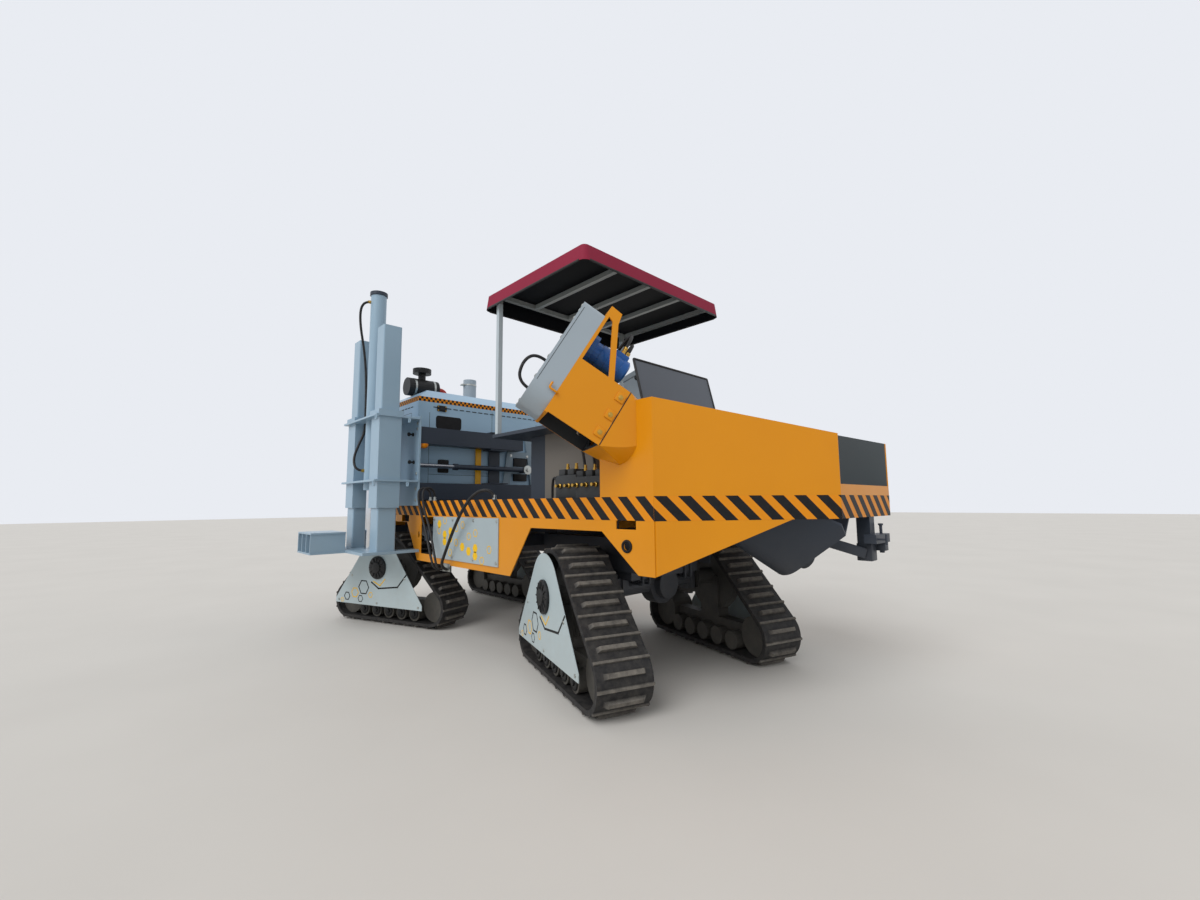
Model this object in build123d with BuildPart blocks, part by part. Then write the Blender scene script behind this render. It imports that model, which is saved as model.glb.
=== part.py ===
from build123d import *
from math import acos, atan2, cos, degrees, hypot, pi, radians, sin
import os

os.makedirs("parts", exist_ok=True)

# Curb slipform machine on four triangular tracks.
# Millimetres. X runs across the machine, Y from the hopper end to the engine end, Z up.
# The origin lies on the ground below the middle of the machine's outline.

# Datum of the body: its left side face and the near corner where the oblique hopper wall starts
side_x = -645
corner_y = -2129

# Body
body_width = 1930
body_length = 4900
sheet = 8
skirt_top = 1330
band_height = 150
skirt_low = 714
corner_low = 850
arch_top = 1106
front_arch = (132, 450, 1240, 1520)
rear_arch = (3250, 3530)
deck_thickness = 10
right_x = side_x + body_width
middle_x = side_x + body_width / 2
end_y = corner_y + body_length
rail_inset = 560
rail_size = (100, 160)
rail_z = 862
band_low = skirt_top - band_height

# Hopper
nose_x = side_x + 994
nose_y = corner_y - 708
hopper_back_y = corner_y + 464
hopper_top_corner = 1937
hopper_top_nose = 1725
nose_lip = 1400
oblique_band_meet = 886
flap_height = 1180
flap_lean = 14
flap_width = 1050
flap_from_left = 690
flap_y = corner_y + 480
flap_thickness = 6

# Auger: its axis crosses the left side plane at auger_cross, runs up to the left and back
auger_cross_y = corner_y + 358
auger_cross_z = 1793
auger_turn = 28.1
auger_rise = 32.0
tube_radius = 190
tube_wall = 7
screw_radius = 168
screw_shaft_radius = 45
screw_pitch = 300
screw_blade = 12
trough_end = -1600
chute_wing = 1150
chute_open_to = -560
bearing_length = 150
bearing_radius = 75

# Auger head box, drive plate, chain case and gear motor
head_half = 200
head_start = 31
flare_start = -230
head_end = 406
head_sheet = 8
drive_plate = 22
drive_plate_low = -206
drive_plate_top = 607
case_depth = 158
case_low = -226
case_top = 533
case_low_round = 150
case_top_round = 30
motor_up = 355
motor_radius = 80
motor_length = 250

# Tracks
track_width = 380
belt_thickness = 32
sprocket_height = 620
sprocket_outer = 340
idler_reach = 630
idler_outer = 190
lug_height = 26
bar_height = 12
lug_count = 52
roller_radius = 76
roller_pitch = 190
roller_count = 5
kingpin_to_belt = 100
axle_y = corner_y + 850
rear_track_y = corner_y + 4180
kingpin_inset = 460
kingpin_radius = 38
kingpin_clearance = 0.05
knuckle_high = sprocket_height + 125
knuckle_low = sprocket_height - 125
knuckle_plate = 36
round_sides = 24
roller_sides = 16
cover_gap = 26
cover_sheet = 6
hub_disc_radius = 116
seat_gap = 0.3

# Sliding leg
leg_x = side_x - 340
leg_pivot_x = side_x - 170
leg_pivot_y = corner_y + 3720
leg_tube = 190
leg_tube_wall = 10
sleeve = 225
leg_front_y = corner_y + 3315
leg_back_y = corner_y + 4030
leg_base_z = sprocket_height + 180
leg_base_thickness = 28
leg_tube_top = 3165
sleeve_low = 1262
sleeve_top = 2265
sleeve_collar = 60
flange_levels = (1528, 2195)
flange_thickness = 20
carriage_plate_x = side_x - 40
carriage_plate_y = corner_y + 3190
cylinder_radius = 82
cylinder_low = 1450
cylinder_top = 3660
leg_rod_radius = 50

# Slide beams of the leg carriage, their guides and the slide cylinder
beam_size = 180
beam_y = corner_y + 3290
beam_levels = (1433, 2035)
beam_ends = (side_x + 1575, side_x + 1300)
slide_post_x = (side_x + 935, side_x + 1085)
shoe_x = (side_x + 845, side_x + 1085)
bracket_depth = 18
slide_rod_z = 1715
slide_rod_radius = 24
slide_barrel_radius = 29
slide_barrel_x = (side_x + 420, side_x + 1380)

# Engine hood
hood_x = side_x + 44
hood_y = corner_y + 3420
hood_width = 1830
hood_top = 2500
hood_crown = 120
hood_chamfer = 170
hood_sheet = 6

# Canopy
canopy_x = side_x + 83
canopy_y = corner_y + 700
canopy_width = 1810
canopy_depth = 1420
canopy_z = 3190
canopy_skirt = 70
canopy_sheet = 6
canopy_radius = 60
post_size = 42
post_y = corner_y + 1950
post_x = (canopy_x + 66, canopy_x + canopy_width - 103)

# Raised operator platform that carries the canopy's posts
platform_top = 1920
platform_plate = 30
platform_x = (side_x + 120, side_x + 1820)
platform_y = (corner_y + 880, corner_y + 2000)
platform_leg = 80
platform_low = platform_top - platform_plate
tank_x = (side_x + 350, side_x + 900)
tank_y = (corner_y + 900, corner_y + 1516)
console_x = side_x + 1160

def place(x, y, z, turn=0):
    """Location at a point, turned about the vertical."""
    return Location((x, y, z), (0, 0, turn))


def yz_outline(points, x, depth):
    """Prism from an outline in Y and Z, starting at x and running along +X."""
    with BuildPart() as prism:
        with BuildSketch(Plane.YZ.offset(x)):
            with BuildLine():
                Polyline(*points, close=True)
            make_face()
        extrude(amount=depth)
    return prism.part


def xz_outline(points, y, depth):
    """Prism from an outline in X and Z, starting at y and running along +Y."""
    with BuildPart() as prism:
        with BuildSketch(Plane.XZ.offset(-y)):
            with BuildLine():
                Polyline(*points, close=True)
            make_face()
        extrude(amount=-depth)
    return prism.part


def xy_outline(points, z, height):
    """Prism from an outline in X and Y, standing on z."""
    with BuildPart() as prism:
        with BuildSketch(Plane.XY.offset(z)):
            with BuildLine():
                Polyline(*points, close=True)
            make_face()
        extrude(amount=height)
    return prism.part


def box_between(x0, x1, y0, y1, z0, z1):
    """Box between two corners."""
    centre = ((x0 + x1) / 2, (y0 + y1) / 2, (z0 + z1) / 2)
    with BuildPart() as block:
        with Locations(centre):
            Box(x1 - x0, y1 - y0, z1 - z0)
    return block.part


def finish(block, name):
    """Label a finished piece and write it."""
    block.part.label = name
    export_step(block.part, f"parts/{name}.step")


# Auger frame: X along the axis upwards, Z up and across the axis
axis_dir = Vector(-cos(radians(auger_turn)) * cos(radians(auger_rise)),
                  sin(radians(auger_turn)) * cos(radians(auger_rise)),
                  sin(radians(auger_rise)))
out_dir = Vector(-sin(radians(auger_turn)), -cos(radians(auger_turn)), 0)
up_dir = out_dir.cross(axis_dir)
if up_dir.Z < 0:
    up_dir = up_dir * -1
auger_origin = Vector(side_x, auger_cross_y, auger_cross_z)


def auger_plane(s):
    """Plane square to the auger at distance s, with x to the outside and y upwards."""
    return Plane(origin=auger_origin + axis_dir * s, x_dir=out_dir, z_dir=out_dir.cross(up_dir))


toward_head = 1 if out_dir.cross(up_dir).dot(axis_dir) > 0 else -1

# Side skirts with their track arches: left and right plates of the same outline
a0, a1, a2, a3 = front_arch
r0, r1 = rear_arch
skirt_points = [
    (corner_y, skirt_top), (corner_y, corner_low), (corner_y + a0, corner_low),
    (corner_y + a1, arch_top), (corner_y + a2, arch_top), (corner_y + a3, skirt_low),
    (corner_y + r0, skirt_low), (corner_y + r1, arch_top), (end_y, arch_top), (end_y, skirt_top),
]
with BuildPart() as side_skirt_left:
    add(yz_outline(skirt_points, side_x, sheet))
    hatch_hole = box_between(side_x - 1, side_x + sheet + 1, corner_y + 146, corner_y + 318, 1125, band_low)
    add(hatch_hole, mode=Mode.SUBTRACT)
    rear_hole = box_between(side_x - 1, side_x + sheet + 1, corner_y + 3482, corner_y + 3669, 1110, band_low)
    add(rear_hole, mode=Mode.SUBTRACT)
    with BuildSketch(Plane.YZ.offset(side_x)):
        with Locations((corner_y + 224, 1023)):
            Circle(28)
        with Locations((corner_y + 3225, 980)):
            SlotOverall(70, 34, rotation=90)
    extrude(amount=sheet, mode=Mode.SUBTRACT)
    recess = box_between(side_x - 1, side_x + sheet + 1, corner_y + 2883, corner_y + 3170, 790, 1165)
    add(recess, mode=Mode.SUBTRACT)
finish(side_skirt_left, "side_skirt_left")

with BuildPart() as side_skirt_right:
    add(yz_outline(skirt_points, right_x - sheet, sheet))
    front_patch = box_between(right_x - sheet, right_x, nose_y + sheet, corner_y, band_low, skirt_top)
    add(front_patch)
finish(side_skirt_right, "side_skirt_right")

with BuildPart() as rear_skirt:
    add(box_between(side_x + sheet, right_x - sheet, end_y - sheet, end_y, arch_top - 120, skirt_top))
finish(rear_skirt, "rear_skirt")

with BuildPart() as side_panel:
    add(box_between(side_x - 10, side_x, corner_y + 1684, corner_y + 2875, 770, 1172))
finish(side_panel, "side_panel")

# Chassis: two rails, cross beams and hangers
rail_x = (side_x + rail_inset, right_x - rail_inset)
cross_beams = [
    # start in Y, depth, distance from the side faces
    (corner_y + 560, 120, rail_inset),
    (corner_y + 1740, 100, sheet),
    (corner_y + 3000, 100, sheet),
    (end_y - 180, 120, sheet),
]
with BuildPart() as chassis_frame:
    for x in rail_x:
        add(box_between(x - rail_size[0] / 2, x + rail_size[0] / 2, corner_y + 560, end_y - 60,
                        rail_z, rail_z + rail_size[1]))
    for y, depth, inset in cross_beams:
        add(box_between(side_x + inset, right_x - inset, y, y + depth, rail_z + 60, rail_z + rail_size[1]))
    for x in rail_x:
        for y in (corner_y + 1700, corner_y + 3040, end_y - 120):
            add(box_between(x - 40, x + 40, y - 40, y + 40, rail_z + rail_size[1], skirt_top - deck_thickness))
    # hanger plates beside the rails, above the steered knuckles
    for x in (rail_x[0] - rail_size[0] / 2 - 10, rail_x[1] + rail_size[0] / 2):
        add(box_between(x, x + 10, corner_y + 580, corner_y + 940, knuckle_high + 22, rail_z + rail_size[1]))
finish(chassis_frame, "chassis_frame")

with BuildPart() as deck_plate:
    add(box_between(side_x + sheet, right_x - sheet, hopper_back_y + sheet, end_y - sheet,
                    skirt_top - deck_thickness, skirt_top))
finish(deck_plate, "deck_plate")


def flare_form(grow):
    """Round-to-square transition between the auger tube and the head box."""
    with BuildPart() as flare:
        with BuildSketch(auger_plane(flare_start)):
            Circle(tube_radius + grow)
        with BuildSketch(auger_plane(head_start)):
            Circle(head_half * 2 ** 0.5 + grow)
        loft()
        with BuildSketch(auger_plane(flare_start)):
            Rectangle(2 * (head_half + grow), 2 * (head_half + grow))
        extrude(amount=toward_head * (head_start - flare_start), mode=Mode.INTERSECT)
        with BuildSketch(auger_plane(head_start)):
            Rectangle(2 * (head_half + grow), 2 * (head_half + grow))
        extrude(amount=toward_head * (14 + grow))
    return flare.part


# Hopper: open bin with an oblique wall, a low nose lip and sloping top edges
bin_points = [
    (side_x, corner_y), (nose_x, nose_y), (right_x, nose_y), (right_x, hopper_back_y), (side_x, hopper_back_y),
]
with BuildPart() as hopper_bin:
    with BuildSketch(Plane.XY.offset(band_low)):
        with BuildLine():
            Polyline(*bin_points, close=True)
        make_face()
        offset(amount=-sheet, kind=Kind.INTERSECTION, mode=Mode.SUBTRACT)
    extrude(amount=hopper_top_corner - band_low)
    # sloping top of the oblique wall and of the right wall, and the low lip of the nose
    slope = (hopper_top_corner - hopper_top_nose) / (corner_y - nose_y)
    far = 50
    top_cut = [
        (corner_y, hopper_top_corner), (nose_y - far, hopper_top_nose - far * slope),
        (nose_y - far, hopper_top_corner + far), (corner_y, hopper_top_corner + far),
    ]
    add(yz_outline(top_cut, side_x - 1, body_width + 2), mode=Mode.SUBTRACT)
    lip_cut = box_between(nose_x + sheet / 2, right_x - sheet, nose_y - 1, nose_y + sheet + 1,
                          nose_lip, hopper_top_corner)
    add(lip_cut, mode=Mode.SUBTRACT)
    # triangular cheek that carries the oblique wall down to the near corner
    run = Vector(nose_x - side_x, nose_y - corner_y, 0)
    cheek_plane = Plane(origin=(side_x, corner_y, 0), x_dir=run.normalized(),
                        z_dir=run.normalized().cross(Vector(0, 0, 1)))
    inward = -1 if cheek_plane.z_dir.dot(Vector(1, 1, 0)) < 0 else 1
    with BuildSketch(cheek_plane):
        with BuildLine():
            Polyline((0, corner_low), (oblique_band_meet, band_low), (run.length, band_low),
                     (run.length, skirt_top), (0, skirt_top), close=True)
        make_face()
    extrude(amount=inward * sheet)
    # room for the skirts below the deck line
    for x0, x1 in ((side_x - 1, side_x + sheet + seat_gap), (right_x - sheet - seat_gap, right_x + 1)):
        add(box_between(x0, x1, nose_y + sheet, hopper_back_y + 1, corner_low - 1, skirt_top), mode=Mode.SUBTRACT)
    # the auger leaves through the left wall and the back corner
    with BuildSketch(auger_plane(head_start)):
        Circle(tube_radius + seat_gap)
    extrude(amount=-toward_head * 900, mode=Mode.SUBTRACT)
    add(flare_form(seat_gap), mode=Mode.SUBTRACT)
    with BuildSketch(auger_plane(head_start)):
        Rectangle(2 * (head_half + seat_gap), 2 * (head_half + seat_gap))
    extrude(amount=toward_head * (head_end - head_start), mode=Mode.SUBTRACT)
finish(hopper_bin, "hopper_bin")

# Chute under the hopper: a half-round trough with two wings and a leaning end plate
wing = chute_wing / 2 ** 0.5


def chute_section(radius):
    """Trough section: half-round bottom with wings that lean out at 45 degrees."""
    side = radius / 2 ** 0.5
    with BuildSketch() as section:
        Circle(radius)
        with BuildLine():
            Polyline((-side, -side), (-side - wing, -side + wing), (side + wing, -side + wing),
                     (side, -side), close=True)
        make_face()
    return section.sketch


room = [
    (side_x + 60, corner_y + 20), (nose_x + 12, nose_y + sheet + 4), (right_x - sheet - 4, nose_y + sheet + 4),
    (right_x - sheet - 4, hopper_back_y - sheet - 4), (side_x + 60, hopper_back_y - sheet - 4),
]
with BuildPart() as hopper_chute:
    with BuildSketch(auger_plane(trough_end)):
        add(chute_section(tube_radius + 10))
    extrude(amount=toward_head * 1450)
    with BuildSketch(auger_plane(trough_end + 10)):
        add(chute_section(tube_radius))
    extrude(amount=toward_head * 1500, mode=Mode.SUBTRACT)
    add(xy_outline(room, 500, nose_lip - 30 - 500), mode=Mode.INTERSECT)
    with BuildSketch(auger_plane(trough_end)):
        Circle(screw_shaft_radius + 0.5)
    extrude(amount=toward_head * 20, mode=Mode.SUBTRACT)
finish(hopper_chute, "hopper_chute")

# Auger tube from the trough to the head, with the head box, its flange and the drive plate
with BuildPart() as auger_head:
    with BuildSketch(auger_plane(chute_open_to)):
        Circle(tube_radius)
        Circle(tube_radius - tube_wall, mode=Mode.SUBTRACT)
    extrude(amount=toward_head * (head_start - chute_open_to))
    add(flare_form(0))
    with BuildSketch(auger_plane(chute_open_to)):
        Circle(tube_radius - tube_wall)
    extrude(amount=toward_head * (head_start + 20 - chute_open_to), mode=Mode.SUBTRACT)
    with BuildSketch(auger_plane(head_start)):
        Rectangle(2 * head_half, 2 * head_half)
        with Locations((0, -head_sheet)):
            Rectangle(2 * head_half - 2 * head_sheet, 2 * head_half, mode=Mode.SUBTRACT)
    extrude(amount=toward_head * (head_end - head_start))
    with BuildSketch(auger_plane(head_end)):
        with Locations((0, (drive_plate_low + drive_plate_top) / 2)):
            Rectangle(2 * head_half, drive_plate_top - drive_plate_low)
        Circle(screw_shaft_radius + 0.5, mode=Mode.SUBTRACT)
    extrude(amount=toward_head * drive_plate)
    # bent strap from the top of the drive plate to the head box
    strap = [(head_end + drive_plate, drive_plate_top), (345, drive_plate_top - 5), (330, drive_plate_top - 80),
             (163, head_half), (205, head_half), (372, drive_plate_top - 85), (head_end, drive_plate_top - 70)]
    strap_plane = Plane(origin=auger_origin + out_dir * head_half, x_dir=axis_dir, z_dir=axis_dir.cross(up_dir))
    inside = -1 if strap_plane.z_dir.dot(out_dir) > 0 else 1
    with BuildSketch(strap_plane):
        with BuildLine():
            Polyline(*strap, close=True)
        make_face()
    extrude(amount=inside * 12)
finish(auger_head, "auger_head")

# Chain case: it follows its large chain wheel at the low end, so its low corners are wide rounds
with BuildPart() as chain_case:
    with BuildSketch(auger_plane(head_end + drive_plate)) as case_face:
        with Locations((0, (case_low + case_top) / 2)):
            Rectangle(2 * head_half, case_top - case_low)
        fillet(case_face.vertices().sort_by(Axis.Y)[:2], case_low_round)
        fillet(case_face.vertices().sort_by(Axis.Y)[-2:], case_top_round)
    extrude(amount=toward_head * case_depth)
finish(chain_case, "chain_case")

with BuildPart() as gear_motor:
    with BuildSketch(auger_plane(head_end)):
        with Locations((0, motor_up)):
            RegularPolygon(motor_radius + 30, round_sides)
    extrude(amount=-toward_head * 40)
    with BuildSketch(auger_plane(head_end - 40)):
        with Locations((0, motor_up)):
            RegularPolygon(motor_radius, round_sides)
    extrude(amount=-toward_head * motor_length)
finish(gear_motor, "gear_motor")

# Auger screw: a shaft with a helical flight, built as a ribbon of flat strips that winds up the axis
screw_start = trough_end - bearing_length
screw_end = head_end + drive_plate - 4
blade_from = trough_end + 30
blade_to = head_end - 20
flight_foot = 30
steps_in_turn = 16
steps = int((blade_to - blade_from - screw_blade) / screw_pitch * steps_in_turn)


def flight_point(index, radius, shift):
    """Point of the flight at a step, at a radius, shifted along the axis by part of its thickness."""
    angle = index * 2 * pi / steps_in_turn
    along = blade_from + index * screw_pitch / steps_in_turn + shift
    return auger_origin + axis_dir * along + out_dir * (radius * cos(angle)) + up_dir * (radius * sin(angle))


def flight_ring(index):
    """Four corners of the flight's section at a step."""
    corners = ((flight_foot, 0), (screw_radius, 0), (screw_radius, screw_blade), (flight_foot, screw_blade))
    return [flight_point(index, radius, shift) for radius, shift in corners]


def flight_faces():
    """Flat faces that close the flight: two ends and four strips of two triangles at each step."""
    rings = [flight_ring(index) for index in range(steps + 1)]
    outlines = [rings[0], rings[-1]]
    for ring, after in zip(rings, rings[1:]):
        for a, b in ((0, 1), (1, 2), (2, 3), (3, 0)):
            outlines.append([ring[a], ring[b], after[b]])
            outlines.append([ring[a], after[b], after[a]])
    return [Face(Wire.make_polygon(outline)) for outline in outlines]


with BuildPart() as auger_screw:
    with BuildSketch(auger_plane(screw_start)):
        Circle(screw_shaft_radius)
    extrude(amount=toward_head * (screw_end - screw_start))
    add(Solid(Shell(flight_faces())))
finish(auger_screw, "auger_screw")

with BuildPart() as trough_bearing:
    with BuildSketch(auger_plane(trough_end)):
        RegularPolygon(bearing_radius, round_sides)
        Circle(screw_shaft_radius + kingpin_clearance, mode=Mode.SUBTRACT)
    extrude(amount=-toward_head * (bearing_length - 20))
finish(trough_bearing, "trough_bearing")

# Splash flap behind the hopper, leaning back
with BuildPart() as hopper_flap:
    flap_plane = Plane(origin=(side_x + flap_from_left, flap_y, skirt_top + 2), x_dir=(1, 0, 0),
                       z_dir=(0, -cos(radians(flap_lean)), sin(radians(flap_lean))))
    with BuildSketch(flap_plane):
        with Locations((flap_width / 2, flap_height / 2)):
            Rectangle(flap_width, flap_height)
    extrude(amount=-flap_thickness)
finish(hopper_flap, "hopper_flap")

# Hydraulic tank, raised platform, valve block and operator console
with BuildPart() as hydraulic_tank:
    add(box_between(*tank_x, *tank_y, skirt_top, platform_low))
finish(hydraulic_tank, "hydraulic_tank")

platform_legs = [
    # left, front, width, depth
    (tank_x[0] + 30, tank_y[1] + 24, tank_x[1] - tank_x[0] - 60, 220),
    (side_x + 1000, platform_y[1] - 110, platform_leg, platform_leg),
    (platform_x[1] - 110, platform_y[1] - 110, platform_leg, platform_leg),
    (platform_x[1] - 110, platform_y[0] + 30, platform_leg, platform_leg),
]
with BuildPart() as platform:
    add(box_between(*platform_x, *platform_y, platform_low, platform_top))
    for x, y, width, depth in platform_legs:
        add(box_between(x, x + width, y, y + depth, skirt_top, platform_low))
finish(platform, "platform")

with BuildPart() as valve_block:
    add(box_between(side_x + 60, side_x + 220, corner_y + 520, corner_y + 780, skirt_top, skirt_top + 150))
finish(valve_block, "valve_block")

with BuildPart() as operator_console:
    add(box_between(console_x, console_x + 380, corner_y + 1100, corner_y + 1330, platform_top, 2500))
finish(operator_console, "operator_console")

# Engine hood: open-bottomed shell with a chamfered crown
hood_x1 = hood_x + hood_width
hood_y1 = end_y - 40


def hood_form(inset):
    """Solid of the hood, inset all over."""
    with BuildPart() as form:
        with BuildSketch(Plane.XY.offset(skirt_top)):
            with Locations(((hood_x + hood_x1) / 2, (hood_y + hood_y1) / 2)):
                Rectangle(hood_width - 2 * inset, hood_y1 - hood_y - 2 * inset)
        extrude(amount=hood_top - skirt_top - inset)
        with BuildSketch(Plane.XY.offset(hood_top - inset)):
            with Locations(((hood_x + hood_x1) / 2, (hood_y + hood_y1) / 2)):
                Rectangle(hood_width - 2 * inset, hood_y1 - hood_y - 2 * inset)
        extrude(amount=hood_crown, taper=degrees(atan2(hood_chamfer - inset, hood_crown)))
    return form.part


with BuildPart() as engine_hood:
    add(hood_form(0))
    add(hood_form(hood_sheet), mode=Mode.SUBTRACT)
finish(engine_hood, "engine_hood")

with BuildPart() as engine_block:
    add(box_between(side_x + 600, side_x + 1400, hood_y + 350, hood_y + 1050, skirt_top, skirt_top + 750))
finish(engine_block, "engine_block")

with BuildPart() as exhaust_stack:
    with BuildSketch(Plane.XY.offset(hood_top + hood_crown)):
        with Locations((side_x + 1020, corner_y + 4050)):
            RegularPolygon(85, round_sides)
            RegularPolygon(78, round_sides, mode=Mode.SUBTRACT)
    extrude(amount=330)
finish(exhaust_stack, "exhaust_stack")

cleaner_at = (side_x + 330, corner_y + 4000, hood_top + hood_crown)
cleaner_radius = 110
with BuildPart() as air_cleaner:
    with BuildSketch(Plane.YZ.offset(cleaner_at[0] - 190)):
        with Locations((cleaner_at[1], cleaner_at[2] + cleaner_radius)):
            RegularPolygon(cleaner_radius, round_sides)
    extrude(amount=380)
    with BuildSketch(Plane.XY.offset(cleaner_at[2] + cleaner_radius)):
        with Locations(cleaner_at[:2]):
            RegularPolygon(45, roller_sides)
    extrude(amount=200)
    with BuildSketch(Plane.XY.offset(cleaner_at[2] + 290)):
        with Locations(cleaner_at[:2]):
            RegularPolygon(cleaner_radius, round_sides)
    extrude(amount=60)
finish(air_cleaner, "air_cleaner")

# Canopy: shallow tray roof on two posts with a welded frame below it
with BuildPart() as canopy_roof:
    with BuildSketch(Plane.XY.offset(canopy_z - canopy_skirt)):
        with Locations((canopy_x + canopy_width / 2, canopy_y + canopy_depth / 2)):
            RectangleRounded(canopy_width, canopy_depth, canopy_radius)
    extrude(amount=canopy_skirt + 60, taper=8)
    with BuildSketch(Plane.XY.offset(canopy_z - canopy_skirt)):
        with Locations((canopy_x + canopy_width / 2, canopy_y + canopy_depth / 2)):
            RectangleRounded(canopy_width - 2 * canopy_sheet, canopy_depth - 2 * canopy_sheet,
                             canopy_radius - canopy_sheet)
    extrude(amount=canopy_skirt + 60 - canopy_sheet, taper=8, mode=Mode.SUBTRACT)
finish(canopy_roof, "canopy_roof")

bar = 40
rib_count = 5
rib_top = canopy_z + 60 - canopy_sheet
with BuildPart() as canopy_frame:
    for x in post_x:
        add(box_between(x - post_size / 2, x + post_size / 2, post_y - post_size / 2, post_y + post_size / 2,
                        platform_top, rib_top - bar))
    for y in (canopy_y + 40, post_y - bar / 2):
        add(box_between(canopy_x + 30, canopy_x + canopy_width - 30, y, y + bar, rib_top - bar, rib_top))
    for index in range(rib_count):
        x = canopy_x + 30 + index * (canopy_width - 60 - bar) / (rib_count - 1)
        add(box_between(x, x + bar, canopy_y + 40, post_y + bar / 2, rib_top - bar, rib_top))
finish(canopy_frame, "canopy_frame")

# Slide frame that guides the leg carriage: a post behind the beams with four shoes
back = beam_y + beam_size / 2 + 12
with BuildPart() as slide_frame:
    add(box_between(*slide_post_x, back, back + bracket_depth, skirt_top, beam_levels[1] + beam_size / 2 + 40))
    for level in beam_levels:
        for z in (level + beam_size / 2 + 6, level - beam_size / 2 - 6 - 12):
            if z > skirt_top:
                add(box_between(*shoe_x, beam_y - beam_size / 2, back, z, z + 12))
        add(box_between(*shoe_x, back, back + bracket_depth, level - beam_size / 2, level + beam_size / 2 + 18))
finish(slide_frame, "slide_frame")

# Splayed bracket behind the beams that holds the slide cylinder, and a flat guard post beside it
splayed_legs = [
    # outline in X from the left side face and in Z
    [(1105, skirt_top), (1205, skirt_top), (1295, 1955), (1200, 1955)],
    [(1595, skirt_top), (1800, skirt_top), (1565, 2190), (1453, 2190)],
    [(1240, 1670), (1560, 1670), (1560, 1760), (1240, 1760)],
    [(1270, 1875), (1520, 1875), (1520, 1950), (1270, 1950)],
]
with BuildPart() as slide_bracket:
    for outline in splayed_legs:
        add(xz_outline([(side_x + x, z) for x, z in outline], back, bracket_depth))
finish(slide_bracket, "slide_bracket")

with BuildPart() as guard_post:
    add(box_between(side_x + 755, side_x + 825, back, back + bracket_depth, skirt_top, 2080))
finish(guard_post, "guard_post")

# Cylinder that slides the carriage: the barrel is held by the splayed bracket, the rod by the carriage
with BuildPart() as slide_barrel:
    with BuildSketch(Plane.YZ.offset(slide_barrel_x[0])):
        with Locations((beam_y, slide_rod_z)):
            Circle(slide_barrel_radius)
    extrude(amount=slide_barrel_x[1] - slide_barrel_x[0])
    add(box_between(slide_barrel_x[1], slide_barrel_x[1] + 50, beam_y - 34, back,
                    slide_rod_z - 34, slide_rod_z + 34))
    with BuildSketch(Plane.YZ.offset(slide_barrel_x[0])):
        with Locations((beam_y, slide_rod_z)):
            Circle(slide_rod_radius + kingpin_clearance)
    extrude(amount=slide_barrel_x[1] - slide_barrel_x[0] - 20, mode=Mode.SUBTRACT)
finish(slide_barrel, "slide_barrel")

with BuildPart() as slide_rod:
    with BuildSketch(Plane.YZ.offset(carriage_plate_x + 20)):
        with Locations((beam_y, slide_rod_z)):
            Circle(slide_rod_radius)
    extrude(amount=880)
finish(slide_rod, "slide_rod")

# Leg carriage: beams, mounting plate, sleeves with flanges, and the lift cylinder's barrel
for suffix, level, beam_end in zip(("lower", "upper"), beam_levels, beam_ends):
    with BuildPart() as slide_beam:
        with BuildSketch(Plane.YZ.offset(carriage_plate_x + 20)):
            with Locations((beam_y, level)):
                Rectangle(beam_size, beam_size)
                Rectangle(beam_size - 20, beam_size - 20, mode=Mode.SUBTRACT)
        extrude(amount=beam_end - carriage_plate_x - 20)
    finish(slide_beam, f"slide_beam_{suffix}")

sleeve_ys = (leg_front_y, leg_back_y)
with BuildPart() as leg_sleeves:
    for y in sleeve_ys:
        with BuildSketch(Plane.XY.offset(sleeve_low)):
            with Locations((leg_x, y)):
                Rectangle(sleeve, sleeve)
        extrude(amount=sleeve_top - sleeve_low)
        with BuildSketch(Plane.XY.offset(sleeve_top - sleeve_collar)):
            with Locations((leg_x, y)):
                Rectangle(sleeve + 30, sleeve + 30)
        extrude(amount=sleeve_collar)
    for level in flange_levels:
        add(box_between(leg_x - sleeve / 2 - 40, carriage_plate_x, leg_front_y - sleeve / 2 - 20,
                        leg_back_y + sleeve / 2 + 40, level, level + flange_thickness))
    add(box_between(carriage_plate_x, carriage_plate_x + 20, carriage_plate_y,
                    carriage_plate_y + 950, sleeve_low + 20, flange_levels[1] + flange_thickness + 20))
    for y in sleeve_ys:
        with BuildSketch(Plane.XY.offset(sleeve_low - 1)):
            with Locations((leg_x, y)):
                Rectangle(leg_tube + 10, leg_tube + 10)
        extrude(amount=sleeve_top - sleeve_low + 2, mode=Mode.SUBTRACT)
    with BuildSketch(Plane.XY.offset(sleeve_low)):
        with Locations((leg_x, (leg_front_y + leg_back_y) / 2)):
            Circle(cylinder_radius)
    extrude(amount=1500, mode=Mode.SUBTRACT)
finish(leg_sleeves, "leg_sleeves")

leg_mid_y = (leg_front_y + leg_back_y) / 2
with BuildPart() as leg_barrel:
    with BuildSketch(Plane.XY.offset(cylinder_low)):
        with Locations((leg_x, leg_mid_y)):
            Circle(cylinder_radius)
    extrude(amount=cylinder_top - cylinder_low)
    with BuildSketch(Plane.XY.offset(cylinder_low)):
        with Locations((leg_x, leg_mid_y)):
            Circle(leg_rod_radius + kingpin_clearance)
    extrude(amount=cylinder_top - cylinder_low - 60, mode=Mode.SUBTRACT)
finish(leg_barrel, "leg_barrel")

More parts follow.
